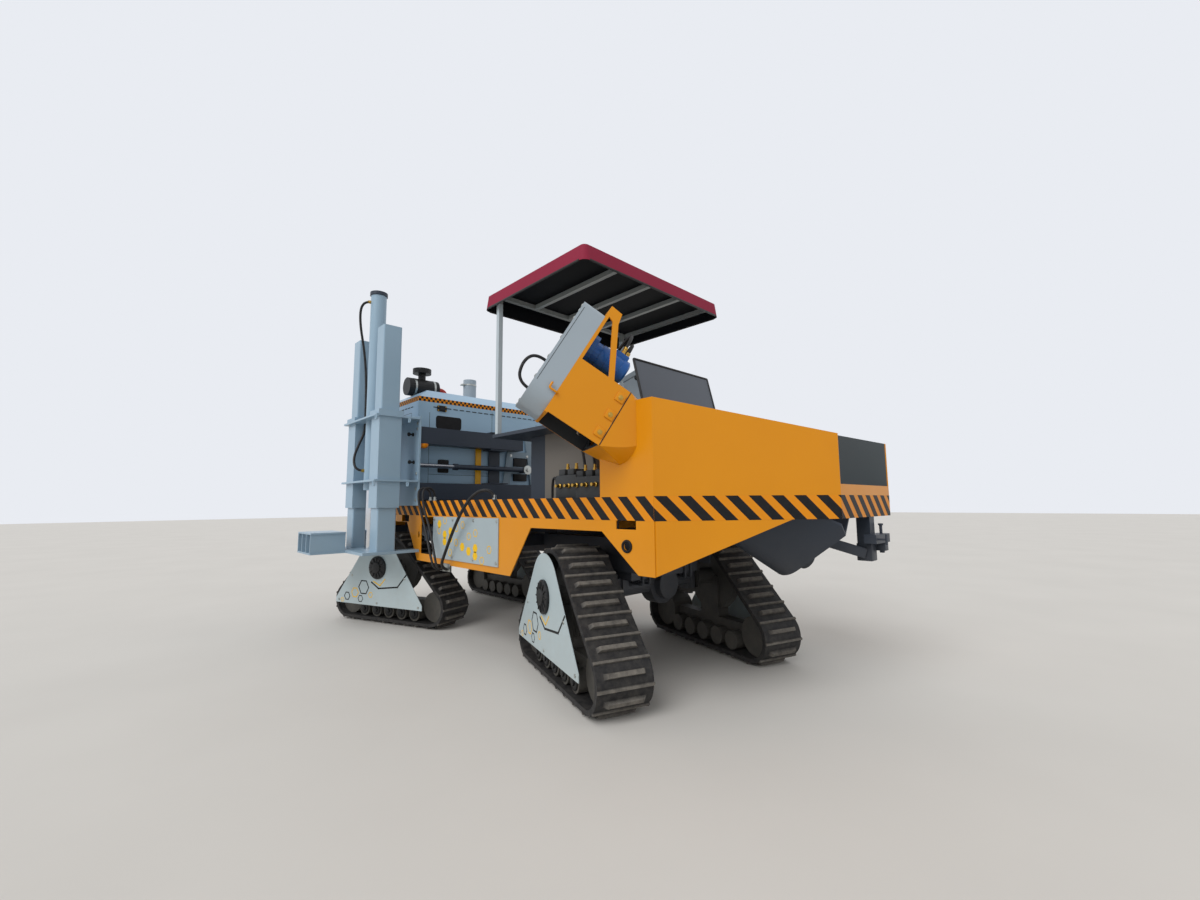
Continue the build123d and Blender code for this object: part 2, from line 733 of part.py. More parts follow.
for suffix, y in zip(("front", "back"), sleeve_ys):
    with BuildPart() as leg_tube_piece:
        with BuildSketch(Plane.XY.offset(leg_base_z + leg_base_thickness)):
            with Locations((leg_x, y)):
                RectangleRounded(leg_tube, leg_tube, 14)
                RectangleRounded(leg_tube - 2 * leg_tube_wall, leg_tube - 2 * leg_tube_wall, 6,
                                 mode=Mode.SUBTRACT)
        extrude(amount=leg_tube_top - leg_base_z - leg_base_thickness)
    finish(leg_tube_piece, f"leg_tube_{suffix}")

with BuildPart() as leg_rod:
    with BuildSketch(Plane.XY.offset(leg_base_z + leg_base_thickness)):
        with Locations((leg_x, leg_mid_y)):
            Circle(leg_rod_radius)
    extrude(amount=cylinder_low + 650 - leg_base_z)
finish(leg_rod, "leg_rod")

foot_out_x = leg_x - 230
with BuildPart() as leg_foot:
    px, py = leg_pivot_x, leg_pivot_y
    foot_points = [
        (foot_out_x, leg_front_y - 120), (side_x - 5, leg_front_y - 120), (side_x - 5, py - 375),
        (px - 115, py - 360), (px + 35, py - 45), (px + 35, py + 45), (px - 115, py + 360),
        (px - 115, leg_back_y + 140), (foot_out_x, leg_back_y + 140),
    ]
    add(xy_outline(foot_points, leg_base_z, leg_base_thickness))
    # outboard bracket with gussets
    add(box_between(foot_out_x - 330, foot_out_x, leg_front_y + 380, leg_back_y + 140, leg_base_z, leg_base_z + 16))
    add(box_between(foot_out_x - 330, foot_out_x, leg_front_y + 380, leg_back_y + 140, 1000, 1016))
    for index in range(4):
        y = leg_front_y + 390 + index * 150
        add(box_between(foot_out_x - 330, foot_out_x, y, y + 12, leg_base_z, 1010))
    with BuildSketch(Plane.XY.offset(leg_base_z)):
        with Locations((px, py)):
            Circle(kingpin_radius)
    extrude(amount=-330)
    with BuildSketch(Plane.XY.offset(1000)):
        with Locations((foot_out_x - 165, leg_front_y + 615)):
            with GridLocations(200, 240, 2, 2):
                Circle(9)
    extrude(amount=16, mode=Mode.SUBTRACT)
finish(leg_foot, "leg_foot")


# Track pieces in their own frame: origin on the ground below the kingpin, outboard along -X

def tangent_angle(r0, r1):
    """Outward angle of the belt's slope between the sprocket and an idler, outer radii r0 and r1."""
    dy = idler_reach
    dz = idler_outer + lug_height - sprocket_height
    length = hypot(dy, dz)
    base = atan2(dz, dy)
    lean = acos((r0 - r1) / length)
    return base + lean


def belt_outline(inset):
    """Closed outline of the belt, inset from its outer surface, as a face."""
    r0 = sprocket_outer - inset
    r1 = idler_outer - inset
    angle = tangent_angle(r0, r1)
    idler_z = idler_outer + lug_height
    top_touch = (r0 * cos(angle), sprocket_height + r0 * sin(angle))
    low_touch = (idler_reach + r1 * cos(angle), idler_z + r1 * sin(angle))
    middle = (angle - pi / 2) / 2
    with BuildSketch() as face:
        with BuildLine():
            Line(top_touch, low_touch)
            ThreePointArc(low_touch, (idler_reach + r1 * cos(middle), idler_z + r1 * sin(middle)),
                          (idler_reach, idler_z - r1))
            Line((idler_reach, idler_z - r1), (-idler_reach, idler_z - r1))
            ThreePointArc((-idler_reach, idler_z - r1),
                          (-idler_reach - r1 * cos(middle), idler_z + r1 * sin(middle)),
                          (-low_touch[0], low_touch[1]))
            Line((-low_touch[0], low_touch[1]), (-top_touch[0], top_touch[1]))
            ThreePointArc((-top_touch[0], top_touch[1]), (0, sprocket_height + r0), top_touch)
        make_face()
    return face.sketch


def belt_walk(distance):
    """Point on the belt's outer surface and its outward angle, at a distance along the belt."""
    r0, r1 = sprocket_outer, idler_outer
    angle = tangent_angle(r0, r1)
    idler_z = idler_outer + lug_height
    slope_length = hypot(idler_reach + (r1 - r0) * cos(angle), idler_z - sprocket_height + (r1 - r0) * sin(angle))
    stretches = [
        ("arc", (0, sprocket_height), r0, pi / 2, angle - pi / 2),
        ("run", (r0 * cos(angle), sprocket_height + r0 * sin(angle)), slope_length, angle),
        ("arc", (idler_reach, idler_z), r1, angle, -pi / 2 - angle),
        ("run", (idler_reach, idler_z - r1), 2 * idler_reach, -pi / 2),
        ("arc", (-idler_reach, idler_z), r1, -pi / 2, -pi / 2 - angle),
        ("run", (-idler_reach + r1 * cos(pi - angle), idler_z + r1 * sin(angle)), slope_length, pi - angle),
        ("arc", (0, sprocket_height), r0, pi - angle, angle - pi / 2),
    ]
    for stretch in stretches:
        if stretch[0] == "arc":
            _, centre, radius, start, sweep = stretch
            length = radius * abs(sweep)
            if distance <= length:
                at = start + sweep * distance / length
                return centre[0] + radius * cos(at), centre[1] + radius * sin(at), at
        else:
            _, start, length, at = stretch
            if distance <= length:
                heading = at - pi / 2
                return start[0] + distance * cos(heading), start[1] + distance * sin(heading), at
        distance -= length
    return 0, sprocket_height + r0, pi / 2


def belt_length():
    """Length of the belt's outer surface."""
    angle = tangent_angle(sprocket_outer, idler_outer)
    idler_z = idler_outer + lug_height
    drop = idler_outer - sprocket_outer
    slope_length = hypot(idler_reach + drop * cos(angle), idler_z - sprocket_height + drop * sin(angle))
    arcs = 2 * sprocket_outer * (pi / 2 - angle) + 2 * idler_outer * (pi / 2 + angle)
    return 2 * slope_length + 2 * idler_reach + arcs


belt_x0 = -kingpin_to_belt - track_width
with BuildPart() as belt_form:
    with BuildSketch(Plane.YZ.offset(belt_x0)):
        add(belt_outline(0))
        add(belt_outline(belt_thickness), mode=Mode.SUBTRACT)
    extrude(amount=track_width)
    total = belt_length()
    for index in range(lug_count):
        y, z, at = belt_walk((index + 0.5) * total / lug_count)
        tall = index % 2 == 0
        height = lug_height if tall else bar_height
        width = track_width * 0.62 if tall else track_width
        thick = 26 if tall else 14
        centre = belt_x0 + track_width / 2
        lug_plane = Plane(origin=(centre, y, z), x_dir=(1, 0, 0), z_dir=(0, cos(at), sin(at)))
        with BuildSketch(lug_plane.offset(-4)):
            Rectangle(width, thick)
        extrude(amount=height + 4)

cover_bottom = 215
cover_half = 650
cover_corner = 50
cover_apex_radius = 290
cover_apex_z = 640


def cover_face():
    """Outline of the outer cover: a triangle with a round top and cut lower corners."""
    low = (cover_half, cover_bottom + cover_corner)
    dy, dz = low[0], low[1] - cover_apex_z
    reach = hypot(dy, dz)
    touch = atan2(dz, dy) + acos(cover_apex_radius / reach)
    tip = (cover_apex_radius * cos(touch), cover_apex_z + cover_apex_radius * sin(touch))
    with BuildSketch() as face:
        with BuildLine():
            Polyline((-tip[0], tip[1]), (-low[0], low[1]), (-cover_half, cover_bottom),
                     (cover_half, cover_bottom), low, tip)
            RadiusArc(tip, (-tip[0], tip[1]), -cover_apex_radius)
        make_face()
    return face.sketch


def track_cover_form(cover_x):
    """Outer cover plate with its hub disc and its stand-offs to the track frame."""
    with BuildPart() as form:
        with BuildSketch(Plane.YZ.offset(cover_x)):
            add(cover_face())
            with Locations((0, sprocket_height)):
                RegularPolygon(hub_disc_radius + seat_gap, round_sides, mode=Mode.SUBTRACT)
        extrude(amount=cover_sheet)
    return form.part


def track_frame_form(kind):
    """Rollers, idlers, sprocket and side frame inside the belt, with the knuckle that carries them."""
    middle = belt_x0 + track_width / 2
    idler_z = idler_outer + lug_height
    inner = idler_outer - belt_thickness - seat_gap
    with BuildPart() as form:
        for reach in (-idler_reach, idler_reach):
            with BuildSketch(Plane.YZ.offset(middle - 110)):
                with Locations((reach, idler_z)):
                    RegularPolygon(inner, round_sides)
            extrude(amount=220)
        for index in range(roller_count):
            y = (index - (roller_count - 1) / 2) * roller_pitch
            with BuildSketch(Plane.YZ.offset(middle - 150)):
                with Locations((y, lug_height + belt_thickness + roller_radius + seat_gap)):
                    RegularPolygon(roller_radius, roller_sides)
            extrude(amount=300)
        with BuildSketch(Plane.YZ.offset(middle - 40)):
            with Locations((0, sprocket_height)):
                RegularPolygon(sprocket_outer - belt_thickness - seat_gap, round_sides)
        extrude(amount=80)
        # side frame beam that carries rollers and idlers, and the upright to the hub
        add(box_between(middle - 60, middle + 60, -idler_reach, idler_reach, 150, 270))
        add(box_between(middle - 60, middle + 60, -120, 120, 150, sprocket_height))
        # hub from the knuckle to the cover
        hub_end = kind["hub_end"]
        hub_start = kind["hub_start"]
        with BuildSketch(Plane.YZ.offset(hub_start)):
            with Locations((0, sprocket_height)):
                RegularPolygon(70, roller_sides)
        extrude(amount=hub_end - hub_start)
        with BuildSketch(Plane.YZ.offset(hub_start - cover_sheet - 12)):
            with Locations((0, sprocket_height)):
                RegularPolygon(hub_disc_radius, round_sides)
        extrude(amount=12 + cover_sheet + 14)
    return form.part


def knuckle_form(wall_x, wall_side, wall_thickness):
    """C-shaped knuckle round the kingpin: two ears and a wall on the side of the track."""
    with BuildPart() as form:
        x0, x1 = sorted((wall_x, -wall_side * 48))
        for z in (knuckle_low, knuckle_high - knuckle_plate):
            add(box_between(x0, x1, -50, 50, z, z + knuckle_plate))
        wall = sorted((wall_x, wall_x - wall_side * wall_thickness))
        add(box_between(wall[0], wall[1], -50, 50, knuckle_low, knuckle_high))
        with BuildSketch(Plane.XY.offset(knuckle_low - 1)):
            Circle(kingpin_radius + kingpin_clearance)
        extrude(amount=knuckle_high - knuckle_low + 2, mode=Mode.SUBTRACT)
    return form.part


# Where each track stands: node suffix, kingpin x, kingpin y, side (-1 left), steering at rest in degrees
tracks = [
    ("front_left", side_x + kingpin_inset, axle_y, -1, -19),
    ("front_right", right_x - kingpin_inset, axle_y, 1, -17),
    ("rear_right", right_x - kingpin_inset, rear_track_y, 1, 0),
    ("rear_left", leg_pivot_x, leg_pivot_y, -1, 20),
]
leg_belt_gap = 60
leg_belt_shift = kingpin_to_belt + track_width + leg_belt_gap
knuckle_normal = knuckle_form(-kingpin_to_belt + 10, -1, 24)
knuckle_leg = knuckle_form(leg_belt_gap - 4, 1, 14)
for suffix, x, y, side, turn in tracks:
    on_leg = suffix == "rear_left"
    shift = leg_belt_shift if on_leg else 0
    cover_x = belt_x0 - cover_gap - cover_sheet - 14
    if on_leg:
        cover_x = -leg_belt_gap - cover_sheet - shift
    hub_kind = {"hub_start": cover_x + cover_sheet, "hub_end": -70}
    if on_leg:
        hub_kind = {"hub_start": cover_x + cover_sheet, "hub_end": cover_x + cover_sheet + 16}
    pieces = [
        ("track_belt", belt_form.part),
        ("track_frame", track_frame_form(hub_kind)),
        ("track_cover", track_cover_form(cover_x)),
    ]
    for kind, form in pieces:
        shape = Location((shift, 0, 0)) * form
        if kind == "track_frame":
            shape = shape + (knuckle_leg if on_leg else knuckle_normal)
        if kind == "track_frame" and on_leg:
            shape = shape + box_between(leg_belt_gap - 18, leg_belt_gap + track_width / 2 - 30, -50, 50, 560, 680)
            shape = shape + box_between(-leg_belt_gap, -44, -50, 50, knuckle_low, knuckle_high)
        if kind == "track_cover" and on_leg:
            shape = shape - box_between(-500, 500, -cover_half, cover_half, leg_base_z - 12, 1200)
        if side == 1:
            shape = shape.mirror(Plane.YZ)
        with BuildPart() as track_piece:
            add(place(x, y, 0, turn) * shape)
        finish(track_piece, f"{kind}_{suffix}")

# Axles
with BuildPart() as front_axle:
    axle_z = sprocket_height
    inner_left = side_x + kingpin_inset
    inner_right = right_x - kingpin_inset
    with BuildSketch(Plane.YZ.offset(inner_left + 60)):
        with Locations((axle_y, axle_z)):
            RegularPolygon(62, roller_sides)
    extrude(amount=inner_right - inner_left - 120)
    for radius, depth in ((165, 120), (120, 240)):
        with BuildSketch(Plane.XZ.offset(-axle_y + depth / 2)):
            with Locations((middle_x + 80, axle_z)):
                RegularPolygon(radius, round_sides)
        extrude(amount=-depth)
    # beam in front of the axle, between the hangers
    add(box_between(rail_x[0] - 20, rail_x[1] + 20, axle_y - 160, axle_y - 70, 700, 790))
    for x in (inner_left, inner_right):
        with Locations((x, axle_y, (knuckle_low + knuckle_high) / 2)):
            Cylinder(kingpin_radius, knuckle_high - knuckle_low + 30)
        inner_low = knuckle_low + knuckle_plate + 0.5
        inner_high = knuckle_high - knuckle_plate - 0.5
        with Locations((x, axle_y, (inner_low + inner_high) / 2)):
            Cylinder(58, inner_high - inner_low)
        toward = 1 if x < middle_x else -1
        a, b = sorted((x, x + toward * 80))
        add(box_between(a, b, axle_y - 50, axle_y + 50, inner_low, inner_high))
    for x, side in ((rail_x[0], 1), (rail_x[1], -1)):
        a, b = sorted((x - side * 20, x + side * 45))
        add(box_between(a, b, axle_y - 70, axle_y + 70, axle_z, rail_z))
finish(front_axle, "front_axle")

with BuildPart() as rear_axle:
    x = right_x - kingpin_inset
    with Locations((x, rear_track_y, (knuckle_low + knuckle_high) / 2)):
        Cylinder(kingpin_radius, knuckle_high - knuckle_low + 30)
    with Locations((x, rear_track_y, (inner_low + inner_high) / 2)):
        Cylinder(58, inner_high - inner_low)
    add(box_between(rail_x[1] - 60, x, rear_track_y - 50, rear_track_y + 50, inner_low, inner_high))
    add(box_between(rail_x[1] - 45, rail_x[1] + 20, rear_track_y - 70, rear_track_y + 70, axle_z, rail_z))
finish(rear_axle, "rear_axle")

# Tow and sensor bracket on the nose
with BuildPart() as sensor_bracket:
    add(box_between(side_x + 1500, side_x + 1590, nose_y + sheet, nose_y + 98, 960, band_low + 60))
    add(box_between(side_x + 1400, side_x + 1680, nose_y - 60, nose_y + 20, 1000, 1060))
    with BuildSketch(Plane.XY.offset(1000)):
        with Locations((side_x + 1440, nose_y - 20)):
            Circle(16)
    extrude(amount=60, mode=Mode.SUBTRACT)
finish(sensor_bracket, "sensor_bracket")
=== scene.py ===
# %% [markdown]
# # A curb slipform machine on four tracks
# The machine takes fresh concrete in its hopper, lifts it with an inclined auger and lets it fall into
# a mould that shapes a kerb. The solids come from CAD; this lesson gives them finishes, the small
# pieces that make them read as a real machine, a camera, a floor and soft light.

# %% Load the solids
import math
import bmesh
import bpy
from mathutils import Matrix, Vector


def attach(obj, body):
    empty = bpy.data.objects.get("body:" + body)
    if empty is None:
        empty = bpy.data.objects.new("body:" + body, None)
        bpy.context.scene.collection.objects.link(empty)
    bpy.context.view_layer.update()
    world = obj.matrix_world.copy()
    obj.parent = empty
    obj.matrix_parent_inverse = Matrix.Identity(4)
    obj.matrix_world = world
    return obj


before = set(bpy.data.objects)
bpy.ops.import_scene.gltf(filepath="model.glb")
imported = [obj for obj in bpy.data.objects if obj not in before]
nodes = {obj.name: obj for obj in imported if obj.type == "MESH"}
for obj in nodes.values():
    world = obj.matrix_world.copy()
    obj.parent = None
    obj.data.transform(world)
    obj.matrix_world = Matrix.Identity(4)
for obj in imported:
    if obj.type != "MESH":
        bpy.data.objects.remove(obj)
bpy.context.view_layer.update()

# %% [markdown]
# Every place below is measured from two datum lines of the machine: its left side face and the near
# corner where the oblique hopper wall starts. Naming them once keeps the small pieces on the solids
# when a size changes. Two functions measure a point, from those lines or along the auger. A third makes
# a place out of a point and three directions, and a fourth adds an object to the scene.

# %% Datum lines and the auger's own axes
side_x, corner_y = -0.645, -2.129
body_width, body_length = 1.930, 4.900
right_x, end_y = side_x + body_width, corner_y + body_length
nose_x, nose_y = side_x + 0.994, corner_y - 0.708
hopper_back = corner_y + 0.464
machine = Matrix.Translation((side_x, corner_y, 0))
turn, rise = math.radians(28.1), math.radians(32.0)
axis = Vector((-math.cos(turn) * math.cos(rise), math.sin(turn) * math.cos(rise), math.sin(rise)))
outward = Vector((-math.sin(turn), -math.cos(turn), 0))
upward = axis.cross(outward)
auger_origin = Vector((side_x, corner_y + 0.358, 1.793))


def spot(x, y, z):
    """Point measured from the left side face, the near corner and the ground."""
    return Vector((side_x + x, corner_y + y, z))


def at_auger(s, out, up):
    """Point beside the auger: s along its axis, out towards the camera side, up across it."""
    return auger_origin + axis * s + outward * out + upward * up


def axes_at(origin, x, y, z):
    """Place at a point with the three directions given."""
    return Matrix.Translation(origin) @ Matrix((x, y, z)).transposed().to_4x4()


def add_object(name, data):
    """New object in the scene."""
    made = bpy.data.objects.new(name, data)
    bpy.context.scene.collection.objects.link(made)
    return made


print("auger axis", [round(v, 3) for v in axis])

# %% [markdown]
# A camera is a point, a direction and a lens. These came from fitting straight edges of known length
# to the photograph, and they hold to about a pixel. A wide 15 mm lens close to the machine gives the
# strong perspective: the near track looks much larger than the one on the leg.

# %% Camera
yaw, pitch, roll = math.radians(43.84), math.radians(6.056), math.radians(-0.497)
look = Vector((math.sin(yaw) * math.cos(pitch), math.cos(yaw) * math.cos(pitch), math.sin(pitch)))
level = Vector((math.cos(yaw), -math.sin(yaw), 0))
over = level.cross(look)
right = level * math.cos(roll) + over * math.sin(roll)
above = over * math.cos(roll) - level * math.sin(roll)
camera_data = bpy.data.cameras.new("camera")
camera_data.sensor_width, camera_data.lens = 36, 15.06
camera_data.clip_start, camera_data.clip_end = 0.05, 200
camera = add_object("camera", camera_data)
camera.matrix_world = axes_at(spot(-2.3209, -1.9569, 1.29), right, above, -look)
bpy.context.scene.camera = camera
print("camera", [round(v, 3) for v in camera.location])

# %% [markdown]
# Colours are written as the sRGB hex values that a paint card would show, and turned to the linear
# numbers that a renderer adds up. One small function adds any shader or geometry node, sets it and
# links it, so that a finish reads like a list.

# %% Colour and node helpers
def linear(colour):
    """Linear RGBA of an sRGB hex colour."""
    parts = [int(colour[i:i + 2], 16) / 255 for i in (0, 2, 4)]
    return tuple(c / 12.92 if c <= 0.04045 else ((c + 0.055) / 1.055) ** 2.4 for c in parts) + (1.0,)


def fill(tree, node, inputs):
    """Link or set inputs by name or number. A node as a value stands for its first active output."""
    for key, value in inputs.items():
        if isinstance(value, bpy.types.Node):
            value = next(output for output in value.outputs if output.enabled)
        if isinstance(value, bpy.types.NodeSocket):
            tree.links.new(value, node.inputs[key])
        else:
            node.inputs[key].default_value = value


def put(tree, kind, inputs=None, **settings):
    """Add a node, set its properties and fill its inputs."""
    node = tree.nodes.new(kind)
    for key, value in settings.items():
        setattr(node, key, value)
    fill(tree, node, inputs or {})
    return node


def blank(name, **surface):
    """New material with one surface shader, whose fixed numbers are given by name. Returns the material,
    its tree, the shader and the coordinates that patterns are drawn in."""
    material = bpy.data.materials.new(name)
    material.use_nodes = True
    tree = material.node_tree
    tree.nodes.clear()
    shader = put(tree, "ShaderNodeBsdfPrincipled", {key.replace("_", " "): v for key, v in surface.items()})
    put(tree, "ShaderNodeOutputMaterial", {"Surface": shader})
    return material, tree, shader, put(tree, "ShaderNodeTexCoord").outputs["Object"]


def lay(tree, shader, colour, coats, roughness, edge, reliefs):
    """Mix the coats over the colour, round the edges in the light, add the reliefs and link all three.
    A coat is (share, colour), and a relief is (height, strength, metres)."""
    for share, over in coats:
        colour = put(tree, "ShaderNodeMix", {0: share, 6: colour, 7: over}, data_type="RGBA")
    normal = put(tree, "ShaderNodeBevel", {"Radius": edge}, samples=4)
    for height, strength, distance in reliefs:
        normal = put(tree, "ShaderNodeBump", {"Height": height, "Strength": strength, "Distance": distance,
                                              "Normal": normal})
    fill(tree, shader, {"Base Color": colour, "Roughness": roughness, "Normal": normal})


print("sRGB 808080 is", round(linear("808080")[0], 3), "in linear light")

# %% [markdown]
# Sprayed enamel on steel sheet is the machine's main finish. Its film is smooth with a slight orange
# peel, its gloss is softer than a car's, and thin sheet is never quite flat, so wide low waves bend
# the reflections. The shade drifts a little over half a metre, and dust from the yard lies low down.
# The Bevel node rounds the edges in the light only, which leaves the solids as they are.

# %% Enamel
def depth_inside(tree, place, planes):
    """Smallest distance inwards from a list of planes, each a point and its inward normal."""
    deepest = None
    for point, normal in planes:
        reach = put(tree, "ShaderNodeVectorMath", {0: place, 1: tuple(normal)}, operation="DOT_PRODUCT")
        gap = put(tree, "ShaderNodeMath", {0: reach, 1: Vector(point).dot(Vector(normal))},
                  operation="SUBTRACT")
        if deepest is not None:
            gap = put(tree, "ShaderNodeMath", {0: deepest, 1: gap}, operation="MINIMUM")
        deepest = gap
    return deepest


def enamel(name, colour, shade, roughness=0.34, coat=0.1, dust=0.35, inner=None, planes=(), shade_below=None,
           specular=0.3):
    """Sprayed enamel. inner is the colour of the faces deeper than 6 mm inside the planes. The colour
    given for the faces that look down is painted shade."""
    material, tree, shader, place = blank(name, Coat_Weight=coat, Coat_Roughness=0.12,
                                          Specular_IOR_Level=specular)
    drift = put(tree, "ShaderNodeTexNoise", {"Vector": place, "Scale": 1 / 0.45, "Detail": 3.0})
    coats = [(drift, linear(shade))]
    if planes:
        inside = put(tree, "ShaderNodeMapRange", {"Value": depth_inside(tree, place, planes),
                                                  "From Min": 0.0055, "From Max": 0.0065})
        coats.append((inside, linear(inner)))
    # painted shade: the faces that look down take the dark colour given
    if shade_below:
        normal = put(tree, "ShaderNodeNewGeometry").outputs["Normal"]
        facing = put(tree, "ShaderNodeSeparateXYZ", {0: normal}).outputs["Z"]
        underside_shade = put(tree, "ShaderNodeMapRange", {"Value": facing, "From Min": -0.04, "From Max": -0.06})
        coats.append((underside_shade, linear(shade_below)))
    # dust: thick near the ground, gone above a metre, in patches a hand wide
    height = put(tree, "ShaderNodeSeparateXYZ", {0: place}).outputs["Z"]
    low = put(tree, "ShaderNodeMapRange", {"Value": height, "From Min": 1.15, "From Max": 0.1,
                                           "To Max": dust})
    patch = put(tree, "ShaderNodeTexNoise", {"Vector": place, "Scale": 1 / 0.09, "Detail": 6.0,
                                             "Roughness": 0.7})
    film = put(tree, "ShaderNodeMath", {0: low, 1: patch}, operation="MULTIPLY")
    coats.append((film, linear("a29784")))
    gloss = put(tree, "ShaderNodeMath", {0: film, 1: 0.5, 2: roughness}, operation="MULTIPLY_ADD")
    # waves of the sheet, 350 mm long, and orange peel, drawn 9 mm wide where the real one is 2 mm
    wave = put(tree, "ShaderNodeTexNoise", {"Vector": place, "Scale": 1 / 0.35, "Detail": 1.0})
    peel = put(tree, "ShaderNodeTexNoise", {"Vector": place, "Scale": 1 / 0.009, "Detail": 2.0})
    lay(tree, shader, linear(colour), coats, gloss, 0.003, [(wave, 0.35, 0.012), (peel, 0.12, 0.0006)])
    return material


bin_planes = [
    ((side_x, 0, 0), (1, 0, 0)), ((right_x, 0, 0), (-1, 0, 0)), ((0, nose_y, 0), (0, 1, 0)),
    ((0, hopper_back, 0), (0, -1, 0)),
    ((side_x, corner_y, 0), Vector((0.708, 0.994, 0)).normalized()),
]
head_planes = [
    (at_auger(0.033, 0, 0), axis), (at_auger(0.411, 0, 0), -axis), (at_auger(0, 0.199, 0), -outward),
    (at_auger(0, -0.199, 0), outward), (at_auger(0, 0, 0.199), -upward),
]
# the canopy frame's faces above this plane, under the roof, are painted darker: painted shade
roof_shade_planes = [((0, 0, 3.14), (0, 0, 1))]
yellow = enamel("yellow_enamel", "dd9004", "d38602", roughness=0.36, coat=0.06, dust=0.2)
hopper_paint = enamel("hopper_enamel", "dd9004", "d38602", roughness=0.36, coat=0.06, dust=0.1,
                      inner="4f5558", planes=bin_planes)
head_paint = enamel("auger_head_enamel", "dd9004", "d38602", roughness=0.36, coat=0.06, dust=0.1,
                    inner="34373a", planes=head_planes)
pole_yellow = enamel("pole_enamel", "eeb008", "e6a606", roughness=0.36, coat=0.15, dust=0.1)
hood_paint = enamel("hood_enamel", "9fbed6", "95b4cc", dust=0.2)
panel_grey = enamel("side_panel_enamel", "a8b5ba", "9dabb1", dust=0.35)
cover_grey = enamel("track_cover_enamel", "b8c8cd", "adbdc3", dust=0.35)
leg_grey = enamel("leg_enamel", "98b2c5", "8ea8bb", dust=0.35)
light_grey = enamel("light_grey_enamel", "a2aeb7", "98a4ae", dust=0.2)
bracket_grey = enamel("bracket_enamel", "8496a3", "798c9a", dust=0.2)
# the inner colour of the canopy frame is painted shade under the roof
frame_grey = enamel("canopy_frame_enamel", "b9c4ca", "b0bbc2", dust=0.0, inner="8d9292", planes=roof_shade_planes)
slate = enamel("slate_chassis_paint", "343c48", "2d343f", roughness=0.42, coat=0.05, dust=0.35)
flap_grey = enamel("flap_enamel", "575c65", "50555d", roughness=0.4, coat=0.05)
tank_grey = enamel("warm_grey_tank_enamel", "726c64", "67615a", roughness=0.4, coat=0.1)
# the sheet's faces that look down are painted near-black: painted shade under the roof
canopy_sheet = enamel("canopy_coated_sheet", "932f46", "85283d", roughness=0.6, coat=0.0, dust=0.0,
                      shade_below="0f1115", specular=0.08)
motor_blue = enamel("motor_blue_enamel", "1f5fae", "1a5399", roughness=0.3, dust=0.0)
iron_paint = enamel("painted_iron", "3c3e40", "333537", roughness=0.55, coat=0.0, dust=0.3)
print("enamels", len(bpy.data.materials))

# %% [markdown]
# Bare and plated metals take their look from reflections. Hard chrome on a cylinder rod is nearly a
# mirror; the auger's steel is ground dull by concrete; brass fittings are small and bright. A metal
# keeps the default index of refraction, and only its colour and roughness are matched.

# %% Metals
def metal(name, colour, roughness, scratch_mm, strength):
    """Metal with fine scratches of a stated spacing, drawn coarse enough to show."""
    material, tree, shader, place = blank(name, Metallic=1.0)
    wear = put(tree, "ShaderNodeTexNoise", {"Vector": place, "Scale": 1 / 0.05, "Detail": 5.0})
    scratch = put(tree, "ShaderNodeTexNoise", {"Vector": place, "Scale": 1000 / scratch_mm, "Detail": 2.0})
    darker = tuple(c * 0.8 for c in linear(colour)[:3]) + (1.0,)
    rough = put(tree, "ShaderNodeMapRange", {"Value": wear, "To Min": roughness * 0.8,
                                             "To Max": roughness * 1.3})
    lay(tree, shader, linear(colour), [(wear, darker)], rough, 0.0015, [(scratch, strength, 0.0005)])
    return material


chrome = metal("hard_chrome_plate", "dfe1e4", 0.1, 8, 0.03)
worn_steel = metal("steel_worn_by_concrete", "9d9890", 0.45, 6, 0.3)
zinc = metal("zinc_plated_steel", "b9bcb8", 0.32, 5, 0.1)
brass = metal("brass_fitting", "c9a14e", 0.3, 5, 0.1)
print("metals ready")

# %% [markdown]
# Rubber and moulded plastic have no coat: they scatter light, and dust shows on what rubs the ground.
# The belts carry their wear in an attribute named crest, from 0 at a lug's foot to 1 at its top, so
# that only the tops turn pale, as on the real belt.

# %% Rubber, plastic and glass
def moulded(name, colour, roughness, dust, grain_mm, crest=False):
    """Moulded rubber or plastic with a fine grain and dust in patches."""
    material, tree, shader, place = blank(name, IOR=1.5, Specular_IOR_Level=0.25)
    patch = put(tree, "ShaderNodeTexNoise", {"Vector": place, "Scale": 1 / 0.05, "Detail": 6.0,
                                             "Roughness": 0.7})
    film = put(tree, "ShaderNodeMapRange", {"Value": patch, "From Min": 0.35, "From Max": 0.8,
                                            "To Max": dust})
    if crest:
        top = put(tree, "ShaderNodeAttribute", attribute_name="crest")
        worn = put(tree, "ShaderNodeMath", {0: top.outputs["Fac"], 1: patch}, operation="MULTIPLY")
        film = put(tree, "ShaderNodeMath", {0: worn, 1: 0.75, 2: film}, operation="MULTIPLY_ADD",
                   use_clamp=True)
    grain = put(tree, "ShaderNodeTexNoise", {"Vector": place, "Scale": 1000 / grain_mm, "Detail": 3.0})
    rough = put(tree, "ShaderNodeMath", {0: film, 1: 0.3, 2: roughness}, operation="MULTIPLY_ADD")
    lay(tree, shader, linear(colour), [(film, linear("969087"))], rough, 0.002, [(grain, 0.25, 0.001)])
    return material


